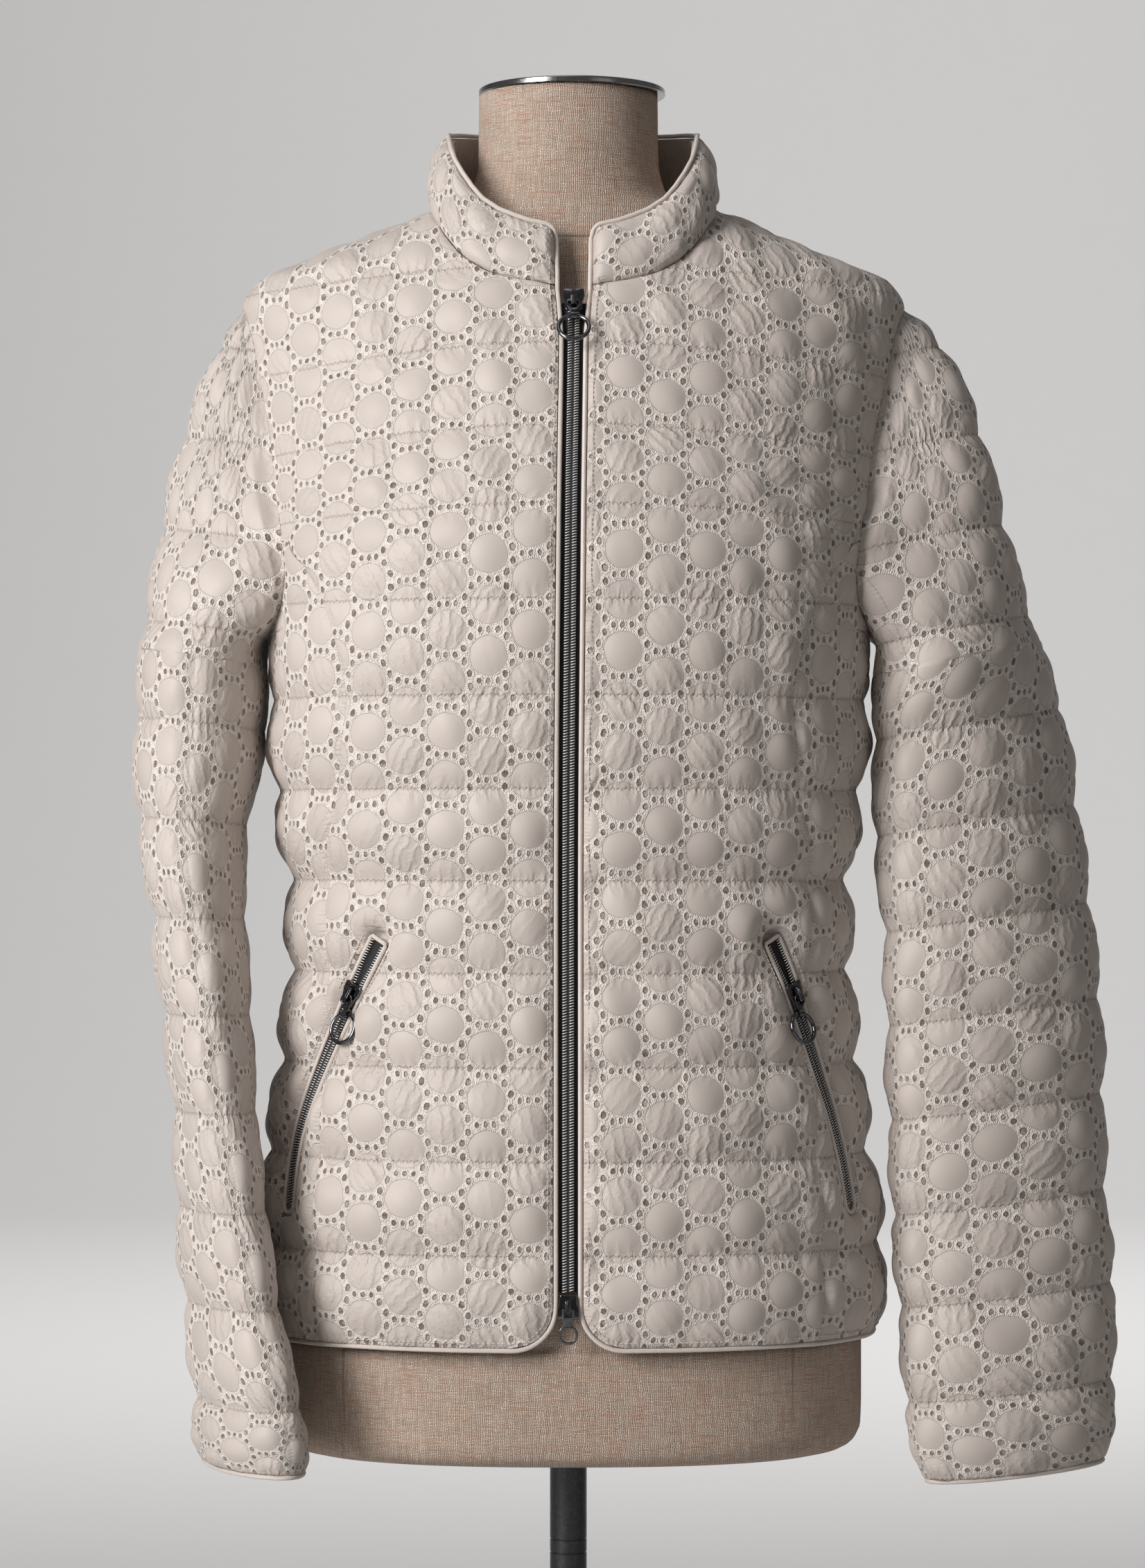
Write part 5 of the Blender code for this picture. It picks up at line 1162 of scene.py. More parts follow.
def arm_channels(side, steps, points):
    """Quilting channels passed on the way down the arm."""
    lines = np.array(ARM_LINES[side]) * CM
    tilt = math.radians(float(arm_value(side, "tilt", lines[0])))
    middle = np.array([float(arm_value(side, "x", lines[0], CM)), 0.0, lines[0]])
    below = (points - middle) @ np.array([math.sin(tilt), 0.0, -math.cos(tilt)])
    first = (FIRST_ARM_LINE - lines[0]) / ARM_PITCH
    s = steps[:, None]
    arm = np.where(s < 2, first + (s - 1) * (1 - first), s - 1)
    return np.where(s < 1, below / ARM_PITCH + first, arm)


def round_the_arm(side, points, least):
    """How far round the arm points lie, seen along it, in metres from its front end at share 0 or 2
    (the nearer to least); a share below least belongs to the next turn."""
    top = ARM_LINES[side][0] * CM
    cx, cy, long_, short = (float(arm_value(side, n, top, CM)) for n in ("x", "y", "long", "short"))
    turn, tilt = (math.radians(float(arm_value(side, n, top))) for n in ("turn", "tilt"))
    across = (points[..., 0] - cx) * math.cos(tilt) + (points[..., 2] - top) * math.sin(tilt)
    behind = points[..., 1] - cy
    ahead = -math.sin(turn) * across - math.cos(turn) * behind
    out = math.cos(turn) * across - math.sin(turn) * behind
    share = np.arctan2(out / short, ahead / long_) / math.pi
    share = (share - least) % 2.0 + least
    shares = np.linspace(least, least + 2, 241)
    section = arm_point(side, top, math.pi * shares)
    run = run_along(section)
    front = 0.0 if least < 0 else 2.0
    return np.interp(share, shares, run) - np.interp(front, shares, run)


CAP_ROWS, SECTION_ROWS = 105, 29     # rows of a sleeve's mesh in its cap and in each section


def build_sleeve(side, tag):
    last = len(ARM_LINES[side]) - 1
    steps = np.concatenate([np.linspace(0, 1, CAP_ROWS, endpoint=False),
                            np.linspace(1, last + 1, SECTION_ROWS * last)])
    flip = mirrored(side)
    slip = 0.004             # a short way along the arm, in steps
    for start, label in ((0, "upper"), (1, "under")):
        middle = arm_rows(side, np.array([3.0]), start + np.linspace(0, 1, 60))[0]
        width = float(np.linalg.norm(np.diff(middle, axis=0), axis=1).sum())
        clear = SEAM_CLEAR / width
        t = np.linspace(0, 1, int(width / STEP) + 1)
        at = start + np.clip(t, clear, 1 - clear)
        place = arm_rows(side, steps, at)
        along = arm_rows(side, steps + slip, at) - arm_rows(side, np.maximum(steps - slip, 0), at)
        round_ = arm_rows(side, steps, at + 0.01) - arm_rows(side, steps, at - 0.01)
        out = unit(np.cross(along, round_))
        row_width = np.linalg.norm(np.diff(place, axis=1), axis=-1).sum(axis=1)
        from_front, from_back = (t, 1 - t) if label == "upper" else (1 - t, t)
        soft, hard = from_front * row_width[:, None], from_back * row_width[:, None]
        hard = np.minimum(hard, np.linalg.norm(place - place[0], axis=-1))
        edge = np.minimum(soft + 2 * MM, hard)
        line = arm_channels(side, steps, place)
        inner_side = np.clip(-np.sin(math.pi * at), 0, 1)
        step = steps[:, None]
        calm = (1 - np.maximum(0.5, 1 - 0.5 * step) * inner_side) * np.minimum(1.0, step / 0.12)
        puff = ARM_PUFF * np.abs(np.sin(math.pi * (line % 1.0))) ** 0.7 * seam_share(hard, soft)
        u = soft * (1 if label == "upper" else -1)
        seen = round_the_arm(side, place, -0.5 if label == "upper" else 0.5)
        u = np.where(step < 1, seen, u) + 6 * MM
        v = -line * ARM_PITCH
        bumps = relief(u, v, line, hard, 40 + 7 * side)
        height = (puff + bumps) * calm
        obj = cloth(f"{label}_sleeve_{tag}_cloth", place * flip, out * flip, height, WALL, (u, v),
                    line, edge, (LACE, LINING))
        settle(obj, "shell", f"{label}_sleeve_{tag}")
    cuff_binding(side, tag, last + 1 - 1e-6)


def cuff_binding(side, tag, step):
    loop = arm_rows(side, np.array([step]), np.linspace(0, 2, 120, endpoint=False))[0]
    tilt = math.radians(float(arm_value(side, "tilt", ARM_LINES[side][-1] * CM)))
    down = np.array([math.sin(tilt), 0, -math.cos(tilt)])
    tangent = unit(np.roll(loop, -1, axis=0) - np.roll(loop, 1, axis=0))
    out = unit(np.cross(down, tangent))
    out = out * np.sign(((loop - loop.mean(axis=0)) * out).sum(axis=-1, keepdims=True))
    middle = loop - out * WALL / 2 + down * CORD
    flip = mirrored(side)
    rings = cord_rings(middle, np.broadcast_to(down, out.shape), out, CORD) * flip
    obj = loft(f"cuff_piping_{tag}", sway(rings), PIPING, closed=True)
    settle(obj, "piping", f"cuff_binding_{tag}")


# ---------------------------------------------------------------- collar
def neck_line(back_faces=8):
    rows = [z for z in LEVELS if NECK_Z - 1e-6 < z < HPS_Z - MM]
    q = [front_inner_q(z) for z in rows] + list(np.linspace(1, 2, back_faces + 1))
    return np.array(q), np.array(rows + [HPS_Z] * (back_faces + 1))


SEAM_Q, SEAM_Z = beside(*neck_line(), -GAP * 0.4)
SEAM = body.point(SEAM_Q, SEAM_Z)
SEAM_RUN = run_along(SEAM)


def collar_point(share, rise):
    """Point of the collar: share runs from the front edge to the middle back, rise from 0 to 1."""
    share, rise = np.broadcast_arrays(np.asarray(share, float), np.asarray(rise, float))
    run = np.clip(share, 0, 1) * SEAM_RUN[-1]
    foot = between(run, SEAM_RUN, SEAM)
    height, lean = (smooth([r[0] for r in COLLAR_ROWS], [r[k] * CM for r in COLLAR_ROWS], share)
                    for k in (1, 2))
    corner = np.clip(COLLAR_CORNER - run, 0, COLLAR_CORNER)
    height = height - COLLAR_CORNER + np.sqrt(COLLAR_CORNER ** 2 - corner ** 2)
    inward = -unit(foot * np.array([1, 1, 0]))
    inward[..., 0] *= np.clip(run / (3 * CM), 0, 1)
    leaning = lean * np.maximum(rise, 0) ** 1.3
    zero = np.zeros_like(height)
    return foot + inward * leaning[..., None] + np.stack([zero, zero, height * rise], axis=-1)


def collar_normal(share, rise):
    ds, dr = 0.02, 0.05
    ahead, behind = np.clip(share + ds, 0, 1), np.clip(share - ds, 0, 1)
    across = collar_point(ahead, rise) - collar_point(behind, rise)
    up = collar_point(share, rise + dr) - collar_point(share, rise - dr)
    return unit(np.cross(across, up))


def build_collar():
    run = SEAM_RUN[-1]
    along = np.linspace(-1, 1, int(2 * run / STEP) | 1)
    pieces = (("collar_cloth", STEP, WALL), ("collar_lining_cloth", 2 * STEP, LINING_WALL))
    for name, fine, wall in pieces:
        lining = name.startswith("collar_lining")
        rise = np.linspace(0.0, 1.0, int(COLLAR_TALL / fine))
        if lining:
            rise = 0.06 + 0.92 * rise
        share, level = np.meshgrid(1 - np.abs(along), rise)
        side = np.sign(along + 1e-12)[None, :, None] * np.array([1, 0, 0]) + np.array([0, 1, 1])
        place, out = collar_point(share, level) * side, collar_normal(share, level) * side
        u, v = along[None, :] * run, level * COLLAR_TALL
        edge = np.minimum(share * run, np.minimum(level, 1 - level) * COLLAR_TALL)
        line = np.full(share.shape, 0.5)
        if lining:
            ripples = 0.45 * MM * waves(u, v, 3.6 * MM, 60 * MM, 51) * fade(edge, 0, 4 * MM)
            obj = cloth(name, place - out * (WALL + GAP + wall), -out, ripples, -wall, (u, v),
                        line, edge, (LINING, LINING))
            settle(obj, "lining", "collar_lining")
        else:
            puff = (COLLAR_PUFF * np.sin(math.pi * level) ** 0.6
                    * np.minimum(share * run / EDGE, 1) ** 0.6)
            height = puff + relief(u, v + 9 * MM, line, edge, 50)
            obj = cloth(name, place, out, height, wall, (u, v + 9 * MM), line, edge,
                        (LACE, LINING))
            settle(obj, "shell", "collar")


# ---------------------------------------------------------------- piping round the jacket's edge
def edge_path():
    """Half the outer edge, from the collar's middle back round to the hem's: places, ways out of
    the cloth's edge and the cloth's normals."""
    shares = np.concatenate([np.linspace(1, 0.06, 60), np.linspace(0.055, 0, 12)])
    falling = np.linspace(0.85, 0.1, 8)
    shares, rises = np.concatenate([shares, np.zeros(8)]), np.concatenate([np.ones(72), falling])
    top, top_out = collar_point(shares, rises), collar_normal(shares, rises)
    z = np.concatenate([np.arange(NECK_Z - 3 * MM, HEM_Z + HEM_CORNER, -6 * MM),
                        HEM_Z + HEM_CORNER * (1 - np.sin(np.linspace(0, math.pi / 2, 12)))])
    q = np.array([front_inner_q(a) for a in z])
    hem = np.concatenate([np.linspace(q[-1], 1, 26)[1:], np.linspace(1, 2, 30)[1:]])
    q, z = np.concatenate([q, hem]), np.concatenate([z, np.full(len(hem), HEM_Z)])
    places, normals = np.vstack([top, body.point(q, z)]), np.vstack([top_out, body.normal(q, z)])
    tangent = np.gradient(places, axis=0)
    tangent[0], tangent[-1] = (1, 0, 0), (-1, 0, 0)
    out = unit(np.cross(normals, unit(tangent)))
    if out[0][2] < 0:
        out = -out
    out[0] *= (0, 1, 1)
    return places, out, normals


def build_edge_binding():
    places, out, normals = edge_path()
    wander = 0.25 * MM * waves(np.arange(len(places)) * 6 * MM, 0, 19 * MM, 1, 60)
    middle = places - normals * (WALL / 2)
    middle = middle + out * (GAP + CORD + wander[:, None] * (places[:, :1] > 1 * CM))
    middle[:, 0] = np.where(places[:, 0] > 2 * MM, middle[:, 0], 0.0)
    half = cord_rings(middle, out, unit(normals), CORD)
    mirror = mirrored(-1)
    rings = np.concatenate([half, (half[1:-1] * mirror)[::-1]])
    obj = loft("edge_piping", sway(rings), PIPING, closed=True)
    settle(obj, "piping", "edge_binding")
    inner = places - out * 2.6 * MM + normals * 1.6 * MM
    stitch_line("edge_stitching", [sway(inner), sway(inner * mirror)], [normals, normals * mirror])


# ---------------------------------------------------------------- zips
UNDER = -WALL / 2 - PIPE - GAP       # a zip tape's face below the cloth's line
TAPE_WALL, CORE_WALL, CORE_UNDER = 1 * MM, 1.6 * MM, -1.15 * MM


def zip_rows(node, middle, down, out, across, gap_at):
    """Both rows of a coil zip's teeth along a line, gap_at being half of what parts the rows."""
    at, run, spots, _ = spaced(middle, COIL)
    down, out, across = (unit(between(at, run, v)) for v in (down, out, across))
    half = np.interp(at, run, gap_at)[:, None] + 1.85 * MM
    places, downs, outs = [], [], []
    for way in (1, -1):
        shift = down * (COIL / 2 if way > 0 else 0)
        places.append(spots + across * half * way + shift - out * 0.55 * MM)
        downs.append(down * way)
        outs.append(out)
    obj = repeat(f"{node}_teeth", TOOTH, np.vstack(places), np.vstack(downs), np.vstack(outs),
                 TEETH)
    map_cloth(obj, np.zeros((len(obj.data.vertices), 2)))
    return settle(obj, "nickel", node)


def strip(name, middle, out, across, from_, to, high, thick, *nodes):
    """A flat band of tape beside a line, from one distance across it to another."""
    t = np.linspace(0, 1, 6)
    offset = np.broadcast_to(from_ + (to - from_) * t, (len(middle), 6))
    place = middle[:, None] + across[:, None] * offset[..., None] + out[:, None] * high
    run = np.broadcast_to(run_along(middle)[:, None], offset.shape)
    obj = cloth(name, place, np.broadcast_to(out[:, None], place.shape), np.zeros(offset.shape),
                thick, (offset, run), np.zeros(offset.shape), np.ones(offset.shape), (TAPE, TAPE),
                swayed=False)
    return settle(obj, "zip_tape", *nodes)


def front_line(low, high):
    z = np.arange(high, low, -4 * MM)
    middle = sway(body.point(np.zeros(len(z)), z))
    out = body.normal(np.zeros(len(z)), z)
    down = unit(np.gradient(middle, axis=0))
    out = unit(out - down * (out * down).sum(axis=-1, keepdims=True))
    return middle, down, out, np.cross(down, out)


def build_front_zip():
    middle, down, out, across = front_line(ZIP_BOTTOM, ZIP_TOP)
    for side, tag in SIDES:
        way = across * np.sign((across[:, :1] * side))
        strip(f"zip_tape_{tag}_weave", middle, out, way, GAP / 2, TAPE_HALF, UNDER, TAPE_WALL,
              f"zip_tape_{tag}")
    strip("zip_core", middle, out, across, -3.2 * MM, 3.2 * MM, CORE_UNDER, CORE_WALL)
    zip_rows("zip_chain", middle, down, out, across, np.zeros(len(middle)))


def pocket_line(side, steps=60):
    """Places, directions down the zip, cloth normals and sideways directions."""
    q, levels = pocket_path(side, steps)
    place, out = body.point(q, levels), body.normal(q, levels)
    down = unit(np.gradient(place, axis=0))
    out = unit(out - down * (out * down).sum(axis=-1, keepdims=True))
    return place, down, out, np.cross(down, out)


def build_pocket(side, tag):
    flip = mirrored(side)
    place, down, out, across = (v * flip for v in pocket_line(side))
    place = sway(place)
    count = len(place)
    share = np.arange(count) / (count - 1)
    opened = np.interp(share, (0, 0.45 * POCKET_SLIDER, POCKET_SLIDER), (1.9 * MM, 1.7 * MM, 0.0))
    strip(f"pocket_tape_{tag}_weave", place, out, across, -SLIT_HALF + GAP, SLIT_HALF - GAP, UNDER,
          TAPE_WALL, f"pocket_tape_{tag}")
    zip_rows(f"pocket_chain_{tag}", place, down, out, across, opened)
    below = share >= POCKET_SLIDER
    strip(f"pocket_core_{tag}", place[below], out[below], across[below], -2.8 * MM, 2.8 * MM,
          CORE_UNDER, CORE_WALL)
    # piping round the slit: down one side, round the bottom and up the other, square at the top
    half = np.full(count, LIP_HALF)
    left, right = place - across * half[:, None], place + across * half[:, None]
    turn = np.linspace(0, math.pi, 9)[1:-1, None]
    end = place[-1] + (down[-1] * np.sin(turn) - across[-1] * np.cos(turn)) * LIP_HALF
    top = place[0] + across[0] * np.linspace(0.85, -0.85, 7)[:, None] * LIP_HALF
    top = top - down[0] * 1.2 * MM
    line = np.vstack([left, end, right[::-1], top])
    normal = np.vstack([out, np.repeat(out[-1:], len(end), axis=0), out[::-1],
                        np.repeat(out[:1], len(top), axis=0)])
    line = line - normal * (WALL / 2 - 0.2 * MM)
    tangent = unit(np.roll(line, -1, axis=0) - np.roll(line, 1, axis=0))
    rings = cord_rings(line, unit(np.cross(normal, tangent)), normal, CORD * 0.9)
    obj = loft(f"pocket_lip_{tag}_piping", rings, PIPING, closed=True)
    settle(obj, "piping", f"pocket_lip_{tag}")
    sewn = [place + across * way * (SLIT_HALF + 1.6 * MM) + out * 1.1 * MM for way in (1, -1)]
    stitch_line(f"pocket_stitching_{tag}", sewn, [out, out])


# ---------------------------------------------------------------- sliders and pulls
PLATE_FROM, PLATE_TO = 1.0 * MM, 2.2 * MM
BRIDGE_WIDE, BRIDGE_LONG, BRIDGE_HIGH = 3.0 * MM, 8.4 * MM, 3.0 * MM
BRIDGE_LEG, BRIDGE_TOP = 1.1 * MM, 1.0 * MM
RING_R, WIRE = 8.2 * MM, 1.18 * MM
BAR, BAR_Y, BAR_Z = 0.6 * MM, 1.4 * MM, PLATE_TO + 1.0 * MM
LINK_HALF, LINK_SIDE, LINK_LONG, LINK_REACH = 2.9 * MM, 0.8 * MM, 6.4 * MM, 9.0 * MM
EYE_R, EYE_HOLE, EYE_WIDE = 2.1 * MM, 1.35 * MM, 3.6 * MM
TAB_REACH, TAB_R, TAB_HOLE = 13.4 * MM, 5.3 * MM, 3.8 * MM
RING_TILT, TAB_TILT, SWING_MOST = (math.radians(a) for a in (13.0, -4, 30))


def arc(x, y, radius, start, end, count=24):
    turn = np.radians(np.linspace(start, end, count))
    return [(x + radius * math.cos(a), y + radius * math.sin(a)) for a in turn]


def pressed(outlines, low, high, bevel):
    """A flat pressed shape between two heights, from its outline and its holes' outlines."""
    curve = bpy.data.curves.new("outline", "CURVE")
    curve.dimensions, curve.fill_mode = "2D", "BOTH"
    curve.extrude, curve.bevel_depth, curve.bevel_resolution = (high - low) / 2 - bevel, bevel, 2
    curve.offset = -bevel
    for outline in outlines:
        spline = curve.splines.new("POLY")
        spline.points.add(len(outline) - 1)
        for point, (x, y) in zip(spline.points, outline):
            point.co = (x, y, 0, 1)
        spline.use_cyclic_u = True
    obj = placed("outline", curve)
    mesh = evaluated(obj)
    bpy.data.objects.remove(obj, do_unlink=True)
    bm = bmesh.new()
    bm.from_mesh(mesh)
    bmesh.ops.remove_doubles(bm, verts=bm.verts, dist=0.00001)
    bmesh.ops.translate(bm, vec=(0, 0, (high + low) / 2), verts=bm.verts)
    return filled(mesh, bm)


def rounded_box(size, centre, bevel):
    bm = bmesh.new()
    bmesh.ops.create_cube(bm, size=1.0)
    bmesh.ops.scale(bm, vec=Vector(size), verts=bm.verts)
    bmesh.ops.bevel(bm, geom=bm.edges[:], offset=bevel, segments=3, affect="EDGES")
    bmesh.ops.translate(bm, vec=Vector(centre), verts=bm.verts)
    return filled(bpy.data.meshes.new("box"), bm)


def ring_shape(radius, wire):
    """A ring hanging from the origin down Y, in the XY plane."""
    turn, small = full_turn(72), full_turn(14)
    reach = radius + wire * np.cos(small)
    rings = np.stack(np.broadcast_arrays(reach * np.sin(turn)[:, None],
                                         radius - reach * np.cos(turn)[:, None],
                                         wire * np.sin(small)), axis=-1)
    return taken_off(loft("ring", rings, NICKEL, closed=True))


def assemble(name, parts, where, rides, *nodes):
    """Meshes of one piece, joined as they lie and placed by a matrix."""
    bm = bmesh.new()
    for part in parts:
        bm.from_mesh(part)
    bmesh.ops.recalc_face_normals(bm, faces=bm.faces)
    bm.transform(where)
    mesh = filled(bpy.data.meshes.new(name), bm)
    mesh.materials.clear()
    mesh.materials.append(NICKEL)
    mesh.shade_smooth()
    mesh.set_sharp_from_angle(angle=CAST_SHARP)
    return settle(placed(name, mesh), "nickel", *nodes, rides=rides)


def slider_parts():
    """The slider: a shield-shaped face, its turned-down sides and the bridge over the link."""
    wide, long_, low = 5.7 * MM, 6.5 * MM, 0.78
    corner, shoulder, notch = 1.4 * MM, 1.2 * MM, 1.6 * MM
    shield = [*arc(-wide + corner, -long_ + corner, corner, 180, 270, 8), (-notch, -long_),
              (0, -long_ + 0.8 * MM), (notch, -long_),
              *arc(wide - corner, -long_ + corner, corner, 270, 360, 8), (wide, -1.5 * MM),
              (wide * low, 2.2 * MM),
              *arc(wide * low - shoulder, long_ - shoulder, shoulder, 0, 90, 8),
              *arc(-wide * low + shoulder, long_ - shoulder, shoulder, 90, 180, 8),
              (-wide * low, 2.2 * MM), (-wide, -1.5 * MM)]
    top = PLATE_TO + BRIDGE_HIGH
    leg = PLATE_TO + BRIDGE_HIGH / 2 - 0.1 * MM
    return [pressed([shield], PLATE_FROM, PLATE_TO, 0.35 * MM),
            *(rounded_box((0.9 * MM, 8.2 * MM, 2.2 * MM),
                          (side * 4.05 * MM, 1.2 * MM, 0.35 * MM), 0.3 * MM) for side in (-1, 1)),
            rounded_box((BRIDGE_WIDE, BRIDGE_LONG, BRIDGE_TOP), (0, 0, top - BRIDGE_TOP / 2),
                        0.45 * MM),
            rounded_box((BRIDGE_WIDE * 0.42, BRIDGE_LONG * 0.8, 0.5 * MM), (0, 0, top), 0.2 * MM),
            *(rounded_box((BRIDGE_WIDE, BRIDGE_LEG, BRIDGE_HIGH),
                          (0, side * (BRIDGE_LONG - BRIDGE_LEG) / 2, leg), 0.35 * MM)
              for side in (-1, 1))]


def link_parts():
    half = LINK_HALF + LINK_SIDE
    outer = [(-half + 0.5 * MM, -BAR), (half - 0.5 * MM, -BAR), (half, 0.3 * MM), (half, 3.2 * MM),
             (EYE_WIDE / 2, LINK_LONG), (EYE_WIDE / 2, LINK_REACH - EYE_R * 0.8),
             (-EYE_WIDE / 2, LINK_REACH - EYE_R * 0.8), (-EYE_WIDE / 2, LINK_LONG),
             (-half, 3.2 * MM), (-half, 0.3 * MM)]
    window = [(-LINK_HALF, BAR), (-LINK_HALF, 3.0 * MM), (-1.6 * MM, LINK_LONG - 3 * BAR),
              (1.6 * MM, LINK_LONG - 3 * BAR), (LINK_HALF, 3.0 * MM), (LINK_HALF, BAR)]
    frame_ = pressed([outer, window], -BAR, BAR, 0.2 * MM)
    turn = full_turn(28)
    radii, widths = (EYE_R, EYE_R, EYE_HOLE, EYE_HOLE), (-1, 1, 1, -1)
    rings = [np.stack([np.full(len(turn), w * EYE_WIDE / 2), LINK_REACH + r * np.cos(turn),
                       r * np.sin(turn)], axis=-1) for r, w in zip(radii, widths)]
    return [frame_, taken_off(loft("eye", rings, NICKEL, closed=True))]


def tab_parts():
    half, waist = 3.3 * MM, 2.6 * MM
    start = math.degrees(math.asin(waist / TAB_R))
    outer = [(-half + 0.4 * MM, -BAR), (half - 0.4 * MM, -BAR), (half, 0.4 * MM), (half, 4.0 * MM),
             (waist, 6.6 * MM), *arc(0, TAB_REACH, TAB_R, -90 + start, 270 - start, 44),
             (-waist, 6.6 * MM), (-half, 4.0 * MM), (-half, 0.4 * MM)]
    window = [(-2.0 * MM, BAR), (-2.0 * MM, 3.8 * MM), (2.0 * MM, 3.8 * MM), (2.0 * MM, BAR)]
    hole = arc(0, TAB_REACH, TAB_HOLE, 0, 360, 49)[:-1]
    return [pressed([outer, window, hole], -BAR, BAR, 0.25 * MM)]


def frame_at(place, down, out):
    """Matrix of a local frame: Y down the zip, Z out of the cloth."""
    down, out = Vector(down).normalized(), Vector(out).normalized()
    out = (out - down * out.dot(down)).normalized()
    turn = Matrix((down.cross(out), down, out)).transposed().to_4x4()
    return Matrix.Translation(Vector(place)) @ turn


def hanging(where):
    """Turn in the slider's plane that lets a pull hang as straight down as its bridge allows."""
    fall = where.to_3x3().transposed() @ Vector((0, 0, -1))
    return max(-SWING_MOST, min(SWING_MOST, math.atan2(-fall.x, fall.y)))


def build_pull(prefix, where, tab=False):
    """A slider with its link and ring, or its one-piece tab, on a zip's frame."""
    upright = where @ Matrix.Rotation(math.pi if tab else 0.0, 4, "Z")
    assemble(f"{prefix}_slider_cast", slider_parts(), upright, BODY, f"{prefix}_slider")
    bar = where @ Matrix.Translation((0, BAR_Y, BAR_Z)) @ Matrix.Rotation(hanging(where), 4, "Z")
    if tab:
        leaning = bar @ Matrix.Rotation(TAB_TILT, 4, "X")
        assemble(f"{prefix}_tab_cast", tab_parts(), leaning, f"{prefix}_tab", f"{prefix}_tab")
        return
    assemble(f"{prefix}_link_cast", link_parts(), bar, f"{prefix}_link", f"{prefix}_link")
    eye = bar @ Matrix.Translation((0, LINK_REACH, 0)) @ Matrix.Rotation(RING_TILT, 4, "X")
    assemble(f"{prefix}_ring_cast", [ring_shape(RING_R, WIRE)], eye, f"{prefix}_ring",
             f"{prefix}_ring")


def front_frame(z):
    p = sway(body.point(0.0, np.array([z - 5 * MM, z, z + 5 * MM])))
    return frame_at(p[1], p[0] - p[2], body.normal(0.0, z))


def pocket_frame(side):
    place, down, out, _ = pocket_line(side, POCKET_STEPS)
    start = POCKET_SLIDER * (len(place) - 1)
    spot, down, out = (between(start, np.arange(len(v)), v) * mirrored(side)
                       for v in (place, down, out))
    return frame_at(sway(spot), down, out)


def build_pulls():
    build_pull("top", front_frame(TOP_SLIDER))
    build_pull("bottom", front_frame(BOTTOM_SLIDER), tab=True)
    for side, tag in SIDES:
        build_pull(f"pocket_{tag}", pocket_frame(side))


# ---------------------------------------------------------------- dress form and stand
FORM_SEAM_X, NECK_SEAM_Z = 12.1 * CM, 96.3 * CM
FORM_FROM, FORM_TO = 30.0, 104.7     # of the linen, cm
AXIS = 0.01 * MM                     # a turned solid's profile starts this near its middle
CAP_R, CAP_TALL, CAP_ROUND = 51.7 * MM, 3.5 * MM, 0.9 * MM
POLE_R, POLE_GROOVES = 10.2 * MM, (24.8, 24.05)
GROOVE = ((0.0, 0.5), (0.35, 0.25), (0.35, -0.25), (0.0, -0.5))    # depth and height, mm
BASE_PROFILE = ((40, 9.0), (136, 6.4), (147, 4.6), (149.4, 3.4), (150, 2.2), (150, 0.6),
                (149.4, 0.0))        # radius and height, mm


def build_form():
    z = np.unique(np.concatenate([[r[0] * CM for r in FORM_ROWS],
                                  np.arange(FORM_FROM, FORM_TO, 0.4) * CM]))
    q = np.linspace(-2, 2, 300, endpoint=False)
    rings = form.point(q[None, :], z[:, None])
    obj = loft("form_linen", rings, LINEN)
    from_seam = np.minimum(np.abs(np.abs(rings[..., 0]) - FORM_SEAM_X),
                           np.abs(rings[..., 2] - NECK_SEAM_Z))
    obj.data.uv_layers.remove(obj.data.uv_layers["cloth"])
    girth = np.interp(z, form.z, form.lengths[0])[:, None]
    u, v = q[None, :] * girth, np.broadcast_to(z[:, None], rings.shape[:2])
    map_cloth(obj, np.stack([u.ravel(), v.ravel()], axis=-1), edge=from_seam.ravel())
    settle(obj, "linen", "form_body")


def build_stand():
    shift = float(pair(SWAY, NECK_TOP))
    low, high = NECK_TOP + GAP, NECK_TOP + GAP + CAP_TALL
    turn = np.linspace(0, math.pi / 2, 6)
    rounding = [(CAP_R - CAP_ROUND + CAP_ROUND * math.sin(a),
                 high - CAP_ROUND + CAP_ROUND * math.cos(a)) for a in turn]
    cap = turned("neck_cap_metal", [(AXIS, high), *rounding, (CAP_R, low + 0.5 * MM),
                                    (CAP_R - 0.5 * MM, low), (AXIS, low)], CAP, shift, 128)
    settle(cap, "cap", "neck_cap")
    foot, top = 9.0 * MM + GAP, 30.0 * CM - GAP
    grooves = [(POLE_R - cut * MM, z * CM + rise * MM)
               for z in POLE_GROOVES for cut, rise in GROOVE]
    pole = turned("pole_tube", [(AXIS, top), (POLE_R, top), *grooves, (POLE_R, foot), (AXIS, foot)],
                  STEEL)
    settle(pole, "steel", "pole")
    plate = [(AXIS, 9.0 * MM), *((r * MM, z * MM) for r, z in BASE_PROFILE), (AXIS, 0.0)]
    settle(turned("base_plate", plate, STEEL, sides=128), "steel", "base")


# ---------------------------------------------------------------- camera, stage and light
SENSOR = 36.0
FLOOR_Z = -0.5 * MM
STAGE_HALF, STAGE_AHEAD = 14.0, 14.0                 # the floor's half width, its reach in front
WALL_Y, WALL_TOP, BEND = 8.0, 9.0, 3.0               # the backdrop's place, height and curve

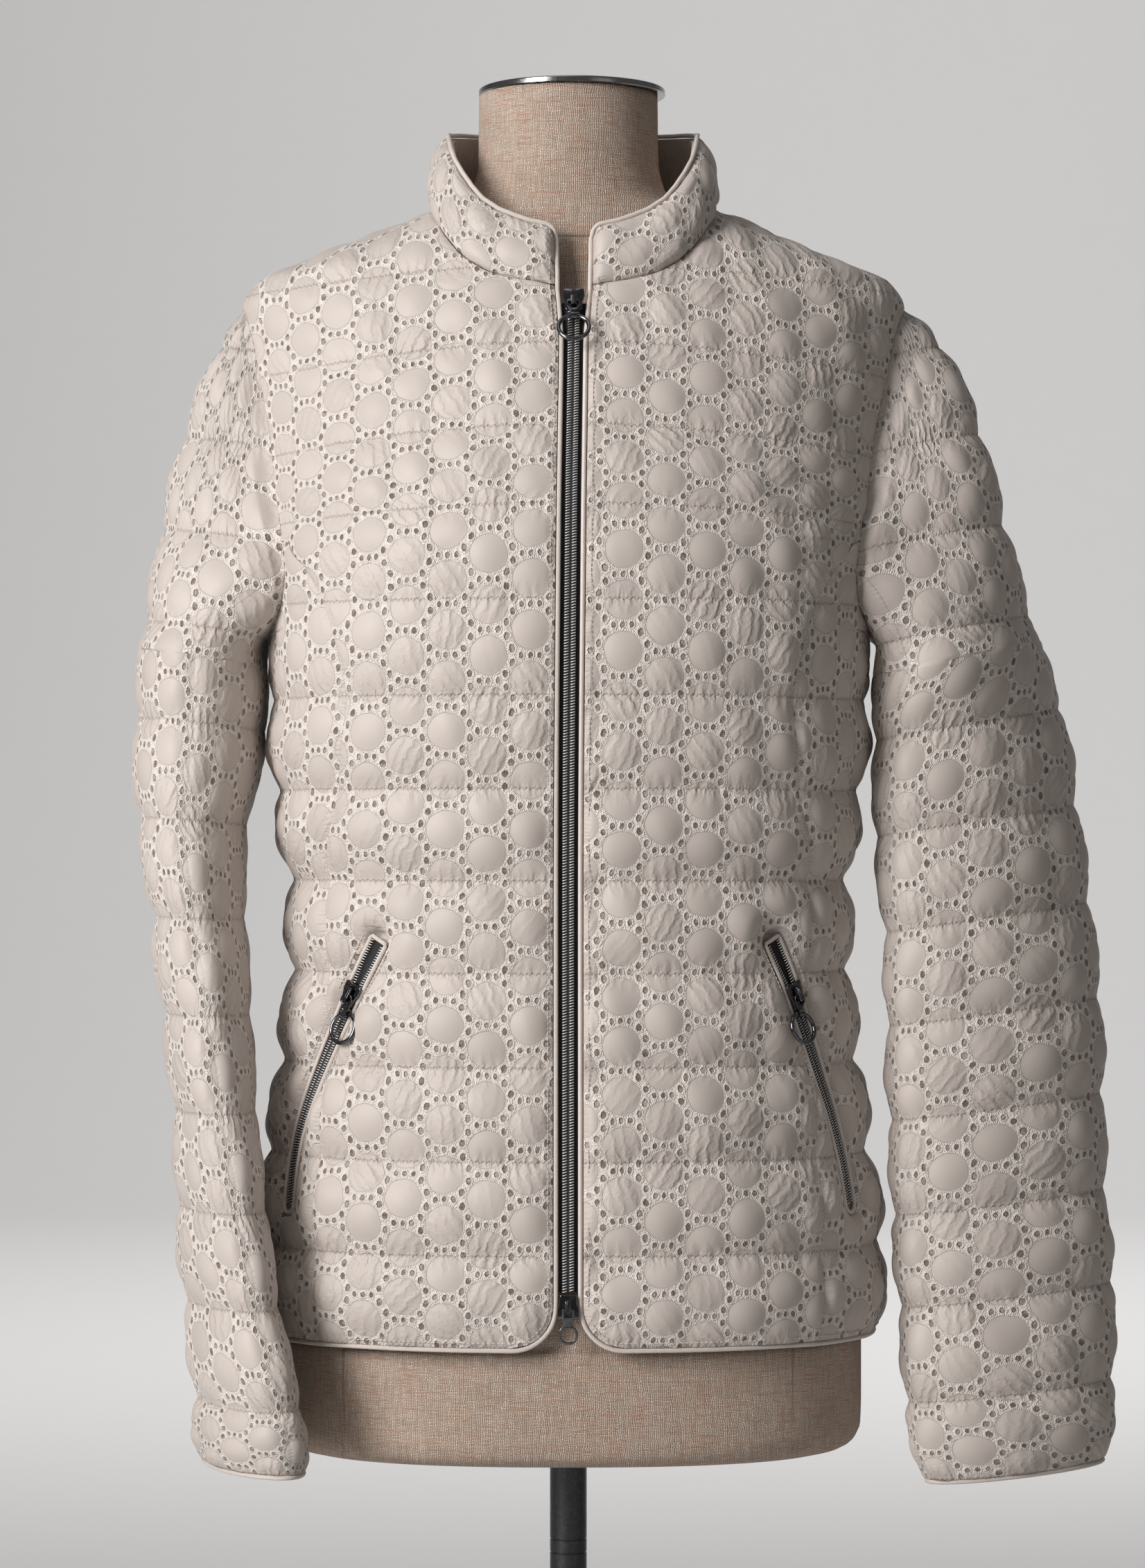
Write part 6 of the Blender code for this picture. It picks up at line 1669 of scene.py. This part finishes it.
# name, place, what it points at, size, power and colour
LIGHTS = (
    ("key", (-1.72, -1.68, 1.52), (0.0, 0.0, 0.66), (0.9, 1.5), 73, (1.0, 0.993, 0.985)),
    ("fill", (1.9, -2.4, 1.0), (0.0, 0.0, 0.6), (1.4, 1.8), 2.5, (1.0, 0.93, 0.87)),
    ("top", (-0.4, -0.6, 2.6), (0.0, 0.1, 0.7), (1.2, 1.0), 4, (1.0, 1.0, 1.0)),
    ("backdrop", (0.9, 2.2, 3.6), (0.5, 7.0, 1.2), (5.0, 2.5), 265, (1.0, 1.0, 1.0)),
)
WORLD_COLOUR, WORLD_STRENGTH = (0.80, 0.785, 0.775, 1.0), 0.155


def build_camera():
    camera = bpy.data.cameras.new("camera")
    camera.sensor_fit, camera.sensor_height, camera.sensor_width = "VERTICAL", SENSOR, SENSOR
    camera.lens = SENSOR * FOCAL / PHOTO_TALL
    camera.shift_y = (HORIZON - PHOTO_TALL / 2) / PHOTO_TALL
    camera.clip_start, camera.clip_end = 0.1, 30.0
    obj = placed("camera", camera)
    obj.location = ((PHOTO_WIDE / 2 - MIDDLE) * DISTANCE / FOCAL, -DISTANCE, EYE)
    obj.rotation_euler = (math.pi / 2, 0.0, 0.0)
    bpy.context.scene.camera = obj


def build_stage():
    """A pale floor that turns up into a backdrop, far enough for a view from behind."""
    turn = np.linspace(0, math.pi / 2, 24)
    bend = [(WALL_Y - BEND + BEND * math.sin(a), BEND - BEND * math.cos(a)) for a in turn]
    profile = [(-STAGE_AHEAD, 0.0), *bend, (WALL_Y, WALL_TOP)]
    points = [(x, y, z + FLOOR_Z) for y, z in profile for x in (-STAGE_HALF, STAGE_HALF)]
    faces = [(2 * i, 2 * i + 1, 2 * i + 3, 2 * i + 2) for i in range(len(profile) - 1)]
    mesh = bpy.data.meshes.new("stage")
    mesh.from_pydata(points, [], faces)
    mesh.materials.append(backdrop_paint())
    mesh.shade_smooth()
    placed("stage", mesh)


def build_light():
    for name, place, target, size, power, colour in LIGHTS:
        light = bpy.data.lights.new(name, "AREA")
        light.shape, light.size, light.size_y = "RECTANGLE", size[0], size[1]
        light.energy, light.color = power, colour
        obj = placed(name, light)
        obj.location = place
        way = Vector(target) - Vector(place)
        obj.rotation_euler = way.to_track_quat("-Z", "Y").to_euler()
    world = bpy.data.worlds.new("studio")
    world.use_nodes = True
    background = world.node_tree.nodes["Background"]
    background.inputs["Color"].default_value = WORLD_COLOUR
    background.inputs["Strength"].default_value = WORLD_STRENGTH
    bpy.context.scene.world = world
    bpy.context.scene.view_settings.view_transform = "Standard"


def main():
    build_camera()
    build_body()
    build_collar()
    for side, tag in SIDES:
        build_sleeve(side, tag)
    build_edge_binding()
    build_front_zip()
    for side, tag in SIDES:
        build_pocket(side, tag)
    build_pulls()
    build_form()
    build_stand()
    build_stage()
    build_light()


main()
